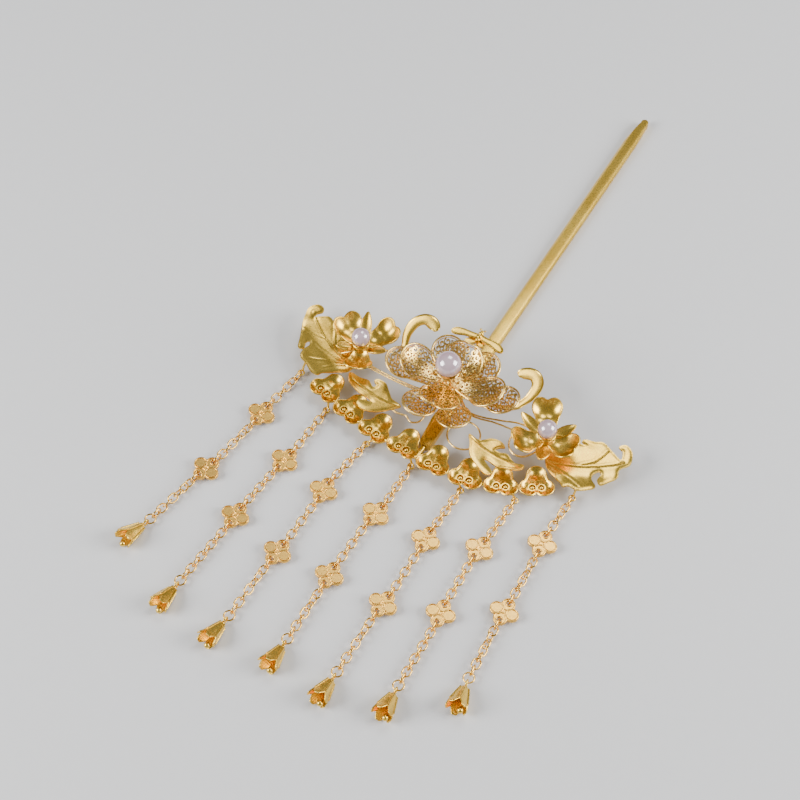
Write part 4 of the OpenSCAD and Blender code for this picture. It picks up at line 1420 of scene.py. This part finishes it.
def ring_reach():
    """Distance from the middle of a bell's ring at which the last link and the bail pass through it."""
    sizes = hang()
    return mil(sizes.ring_radius) - mil(pin().wire_radius) - mil(sizes.link_wire) / 2 - RING_GAP


class HAIRSTICK_OT_chains(Operator):
    """Model the seven chains link by link"""

    bl_idname = "hairstick.chains"
    bl_label = "Chains"

    def execute(self, context):
        sizes = hang()
        wire = mil(sizes.link_wire)
        shape, sides = link_shape()
        lead = (mil(sizes.link_length) - wire) / 2
        for i in range(len(RUNS)):
            places = [
                *link_places(Vector(EYELETS[i][:2]), plaque_hole(i, 0, -1), lead, lead),
                *link_places(plaque_hole(i, 0, 1), plaque_hole(i, 1, -1), lead, lead),
                *link_places(plaque_hole(i, 1, 1), ring_point(i), lead, ring_reach() + lead),
            ]
            points, faces = [], []
            for place in places:
                first = len(points)
                points += [place @ Vector(p) for p in shape]
                faces += [tuple(first + j for j in f) for f in sides]
            loop = ring_route(*ring_point(i), mil(sizes.chain_height), mil(sizes.ring_radius), 32)
            parts = [mesh_piece("links", points, faces), wire_piece("ring", [loop], wire / 2, closed=True)]
            node = "chain_%d" % (i + 1)
            make_piece(node + "_links", parts, 80, node, link_gold())
        return {"FINISHED"}


def drill_hole(plate, x, radius):
    """A round hole through a plate that lies at the origin."""
    at = (x * MM, 0, 0)
    bpy.ops.mesh.primitive_cylinder_add(vertices=28, radius=radius * MM, depth=4 * MM, location=at)
    drill = bpy.context.object
    cut = plate.modifiers.new("Hole", "BOOLEAN")
    cut.operation = "DIFFERENCE"
    cut.solver = "EXACT"
    cut.object = drill
    apply_modifiers(plate)
    bpy.data.objects.remove(drill)


def plaque_shape():
    """One plaque round the origin: plate, four rims, two buttons and two holes."""
    sizes = hang()
    lobe, out, hole = mil(sizes.plaque_lobe), mil(sizes.plaque_reach), mil(sizes.hole_reach)
    centres = [(out, 0), (0, out), (-out, 0), (0, -out)]
    top, plate_t, hole_r = 0.2, 0.6, 0.7

    def inside(x, y):
        return any(math.hypot(x - a, y - b) <= lobe for a, b in centres) or math.hypot(x, y) < out * 1.22

    plate = dish("plate", star_outline(inside, (0, 0), 120, 6), (0, 0), lambda x, y, share: top, Matrix(), 3)
    give_wall(plate, plate_t)
    for s in (-1, 1):
        drill_hole(plate, s * hole, hole_r)
    rims = [ring_route(a, b, top + 0.07, lobe - 0.2, 40) for a, b in centres]
    eyes = [ring_route(s * hole, 0, top + 0.12, hole_r + 0.16, 28) for s in (-1, 1)]
    parts = [plate, wire_piece("rims", rims, 0.2, closed=True), wire_piece("eyes", eyes, 0.16, closed=True)]
    parts += [round_plate(0, s * out, 0, 1.36, 0.4) for s in (-1, 1)]
    return join("plaque_shape", parts)


class HAIRSTICK_OT_plaques(Operator):
    """Model one plaque and place its fourteen copies"""

    bl_idname = "hairstick.plaques"
    bl_label = "Plaques"

    def execute(self, context):
        shape = plaque_shape()
        smooth(shape, 50)
        height = mil(hang().chain_height) + 0.05
        for i in range(len(RUNS)):
            for k in (0, 1):
                node = "plaque_%d_%d" % (i + 1, k + 1)
                obj = copy_shape(shape)
                obj.name = node + "_plate"
                spot = Vector((*plaque_point(i, k), height)) * MM
                obj.data.transform(Matrix.Translation(spot) @ turn(plaque_turn(i, k)))
                seat(obj, [node], plaque_gold())
        bpy.data.objects.remove(shape)
        return {"FINISHED"}


def bell_shape():
    """One bell round its axis, neck at the origin, mouth towards +z."""
    sizes = hang()
    length, mouth, neck = mil(sizes.bell_length), mil(sizes.bell_mouth), mil(sizes.bell_neck)
    notch = 0.8 * mil(sizes.bell_notch) / length
    profile = [(0, 0), (0.08, 0.08), (0.38, 0.36), (0.66, 0.61), (1, 1)]
    petals, spokes, rings, lip_steps = 5, 60, 12, 180

    def panel_share(a):
        """Place of an angle across its panel, from 0 to 1."""
        return (a * petals / math.tau) % 1

    def reach(a):
        """Share of the length that the wall reaches at an angle: full on a panel, less in a notch."""
        wave = abs(panel_share(a) - 0.5) * 2
        return 1 - notch * max(0.0, (wave - 0.3) / 0.7)

    def wall_point(a, t, inwards=0, down=0):
        """Point of the five nearly flat panels, whose seams are the corners."""
        off = (panel_share(a) - 0.5) * math.tau / petals
        round_r = neck + blend_value(profile, t) * (mouth - neck)
        d = round_r * (0.45 + 0.55 * math.cos(math.pi / petals) / math.cos(off)) - inwards
        return (d * math.cos(a), d * math.sin(a), t * length - down)

    points = []
    for r in range(rings + 1):
        angles = [math.tau * k / spokes for k in range(spokes)]
        points += [wall_point(a, reach(a) * r / rings) for a in angles]
    faces = band_faces(rings + 1, spokes)[:-1]
    wall = mesh_piece("wall", points, faces)
    turn_faces_out(wall)
    lip = [math.tau * k / lip_steps for k in range(lip_steps)]
    lip = [wall_point(a, reach(a), 0.1, 0.05) for a in lip]
    seams = [
        [wall_point(math.tau * k / petals, t) for t in (0.02, 0.15, 0.3, 0.45, 0.6, 0.74)]
        for k in range(petals)
    ]
    tongue = [(0, 0, 0.5), (0.6, 0, length * 0.5), (1.2, 0, length + 0.2)]
    parts = [
        rounded_wall(wall, 0.3, 0.06),
        wire_piece("lip", [lip], 0.18, closed=True),
        wire_piece("seams", seams, 0.3),
        wire_piece("tongue", [tongue], 0.2),
        bead((1.3, 0, length + 0.4), 0.85, 24, 14),
    ]
    return join("bell_shape", parts)


class HAIRSTICK_OT_bells(Operator):
    """Model one bell and place its seven copies"""

    bl_idname = "hairstick.bells"
    bl_label = "Bells"

    def execute(self, context):
        sizes = hang()
        shape = bell_shape()
        smooth(shape, 50)
        length, mouth, neck = mil(sizes.bell_length), mil(sizes.bell_mouth), mil(sizes.bell_neck)
        height, ring = mil(sizes.chain_height), mil(sizes.ring_radius)
        tilt = math.atan((mouth - neck) / length)
        low = 0.18 + neck * math.cos(tilt)
        bail, neck_gap, stalk_run = 0.9, 1.65, 2.05
        bail_x = ring_reach() + bail
        for i, row in enumerate(RUNS):
            at = shift(row[4], row[5], 0) @ turn(row[6])
            roll = turn(36 + 11 * i)
            lay = Matrix.Rotation(math.pi / 2 - tilt, 4, "Y") @ roll
            cup = copy_shape(shape)
            cup.data.transform(SCALE @ at @ shift(ring + neck_gap, 0, low) @ lay @ SCALE.inverted())
            loop = [at @ Vector((x, 0, z)) for x, z, _ in ring_route(bail_x, height, 0, bail, 28)]
            stalk = [(bail_x + bail, 0, height), (ring + stalk_run, 0, height + 0.1)]
            parts = [
                cup,
                wire_piece("bail", [loop], mil(pin().wire_radius), closed=True),
                wire_piece("stalk", [[at @ Vector(p) for p in stalk]], 0.5),
            ]
            node = "bell_%d" % (i + 1)
            make_piece(node + "_cup", parts, 50, node, satin_gold())
        bpy.data.objects.remove(shape)
        return {"FINISHED"}


def lay_floor():
    """A wide pale floor with a faint mottle."""
    bpy.ops.mesh.primitive_plane_add(size=6, location=(0, 0, 0))
    floor = bpy.context.object
    floor.name = "floor"
    material, nodes, links = new_material("Pale floor")
    shader = nodes["Principled BSDF"]
    fill_in(shader, {"Roughness": 0.75})
    tone = finish().floor
    place = nodes.new("ShaderNodeTexCoord")
    noise = add_node(nodes, "ShaderNodeTexNoise", {"Scale": 300})
    mottle = add_mix(nodes, A=tone, B=[value * 0.97 for value in tone])
    connect(
        links,
        (place, "Object", noise, "Vector"),
        (noise, "Fac", mottle, "Factor"),
        (mottle, "Result", shader, "Base Color"),
    )
    floor.data.materials.append(material)


def set_lights():
    """A dim studio sky and three square lamps aimed at the head."""
    world = bpy.data.worlds.new("Studio")
    world.use_nodes = True
    fill_in(world.node_tree.nodes["Background"], {"Color": (0.8, 0.83, 0.9, 1), "Strength": 0.28})
    bpy.context.scene.world = world
    for name, towards, distance, side, power in LAMPS:
        lamp = bpy.data.lights.new(name, "AREA")
        lamp.size = side
        lamp.energy = power
        light = add_object(name, lamp)
        light.location = Vector(towards).normalized() * distance
        aim = Vector((0, -0.005, 0.005)) - light.location
        light.rotation_euler = aim.to_track_quat("-Z", "Y").to_euler()


def set_camera():
    """The camera that took the photograph."""
    data = bpy.data.cameras.new("photo_camera")
    camera = add_object("photo_camera", data)
    azimuth, elevation = math.radians(CAMERA_AZIMUTH), math.radians(CAMERA_ELEVATION)
    level = math.cos(elevation)
    back = Vector((math.sin(azimuth) * level, -math.cos(azimuth) * level, math.sin(elevation)))
    right = Vector((math.cos(azimuth), math.sin(azimuth), 0))
    up = back.cross(right)
    camera.matrix_world = Matrix((right, up, back)).transposed().to_4x4()
    camera.location = (back * CAMERA_DISTANCE + right * CAMERA_SLIDE[0] + up * CAMERA_SLIDE[1]) * MM
    data.sensor_width = SENSOR_WIDTH
    data.lens = SENSOR_WIDTH * FOCAL_PIXELS / PHOTO_PIXELS
    data.clip_start = 0.01
    data.clip_end = 20
    bpy.context.scene.camera = camera


class HAIRSTICK_OT_stage(Operator):
    """Set the floor, the lights and the camera"""

    bl_idname = "hairstick.stage"
    bl_label = "Stage"

    def execute(self, context):
        lay_floor()
        set_lights()
        set_camera()
        return {"FINISHED"}


class HAIRSTICK_PT_panel(Panel):
    bl_label = "Hair stick"
    bl_idname = "HAIRSTICK_PT_panel"
    bl_space_type = "VIEW_3D"
    bl_region_type = "UI"
    bl_category = "Hair stick"

    def draw(self, context):
        layout = self.layout
        for group, _ in GROUPS:
            box = layout.box()
            data = getattr(context.scene, group)
            for key in data.__annotations__:
                box.prop(data, key)
        for operator in PIECES:
            layout.operator(operator.bl_idname)


PIECES = (
    HAIRSTICK_OT_shank,
    HAIRSTICK_OT_wires,
    HAIRSTICK_OT_cups,
    HAIRSTICK_OT_leaves,
    HAIRSTICK_OT_filigree,
    HAIRSTICK_OT_pearls,
    HAIRSTICK_OT_orchids,
    HAIRSTICK_OT_horns,
    HAIRSTICK_OT_butterfly,
    HAIRSTICK_OT_chains,
    HAIRSTICK_OT_plaques,
    HAIRSTICK_OT_bells,
    HAIRSTICK_OT_stage,
)
GROUPS = (
    ("hair_stick_sizes", HairStickSizes),
    ("hair_stick_flowers", FlowerSizes),
    ("hair_stick_chains", ChainSizes),
    ("hair_stick_finishes", Finishes),
)


def register():
    for name, group in GROUPS:
        bpy.utils.register_class(group)
        setattr(bpy.types.Scene, name, PointerProperty(type=group))
    for operator in PIECES:
        bpy.utils.register_class(operator)
    bpy.utils.register_class(HAIRSTICK_PT_panel)


def unregister():
    bpy.utils.unregister_class(HAIRSTICK_PT_panel)
    for operator in reversed(PIECES):
        bpy.utils.unregister_class(operator)
    for name, group in reversed(GROUPS):
        delattr(bpy.types.Scene, name)
        bpy.utils.unregister_class(group)


def main():
    register()
    deselect()
    bpy.ops.hairstick.shank()
    bpy.ops.hairstick.wires()
    bpy.ops.hairstick.cups()
    bpy.ops.hairstick.leaves()
    bpy.ops.hairstick.filigree()
    bpy.ops.hairstick.pearls()
    bpy.ops.hairstick.orchids()
    bpy.ops.hairstick.horns()
    bpy.ops.hairstick.butterfly()
    bpy.ops.hairstick.chains()
    bpy.ops.hairstick.plaques()
    bpy.ops.hairstick.bells()
    bpy.ops.hairstick.stage()
    deselect()


if __name__ == "__main__":
    main()
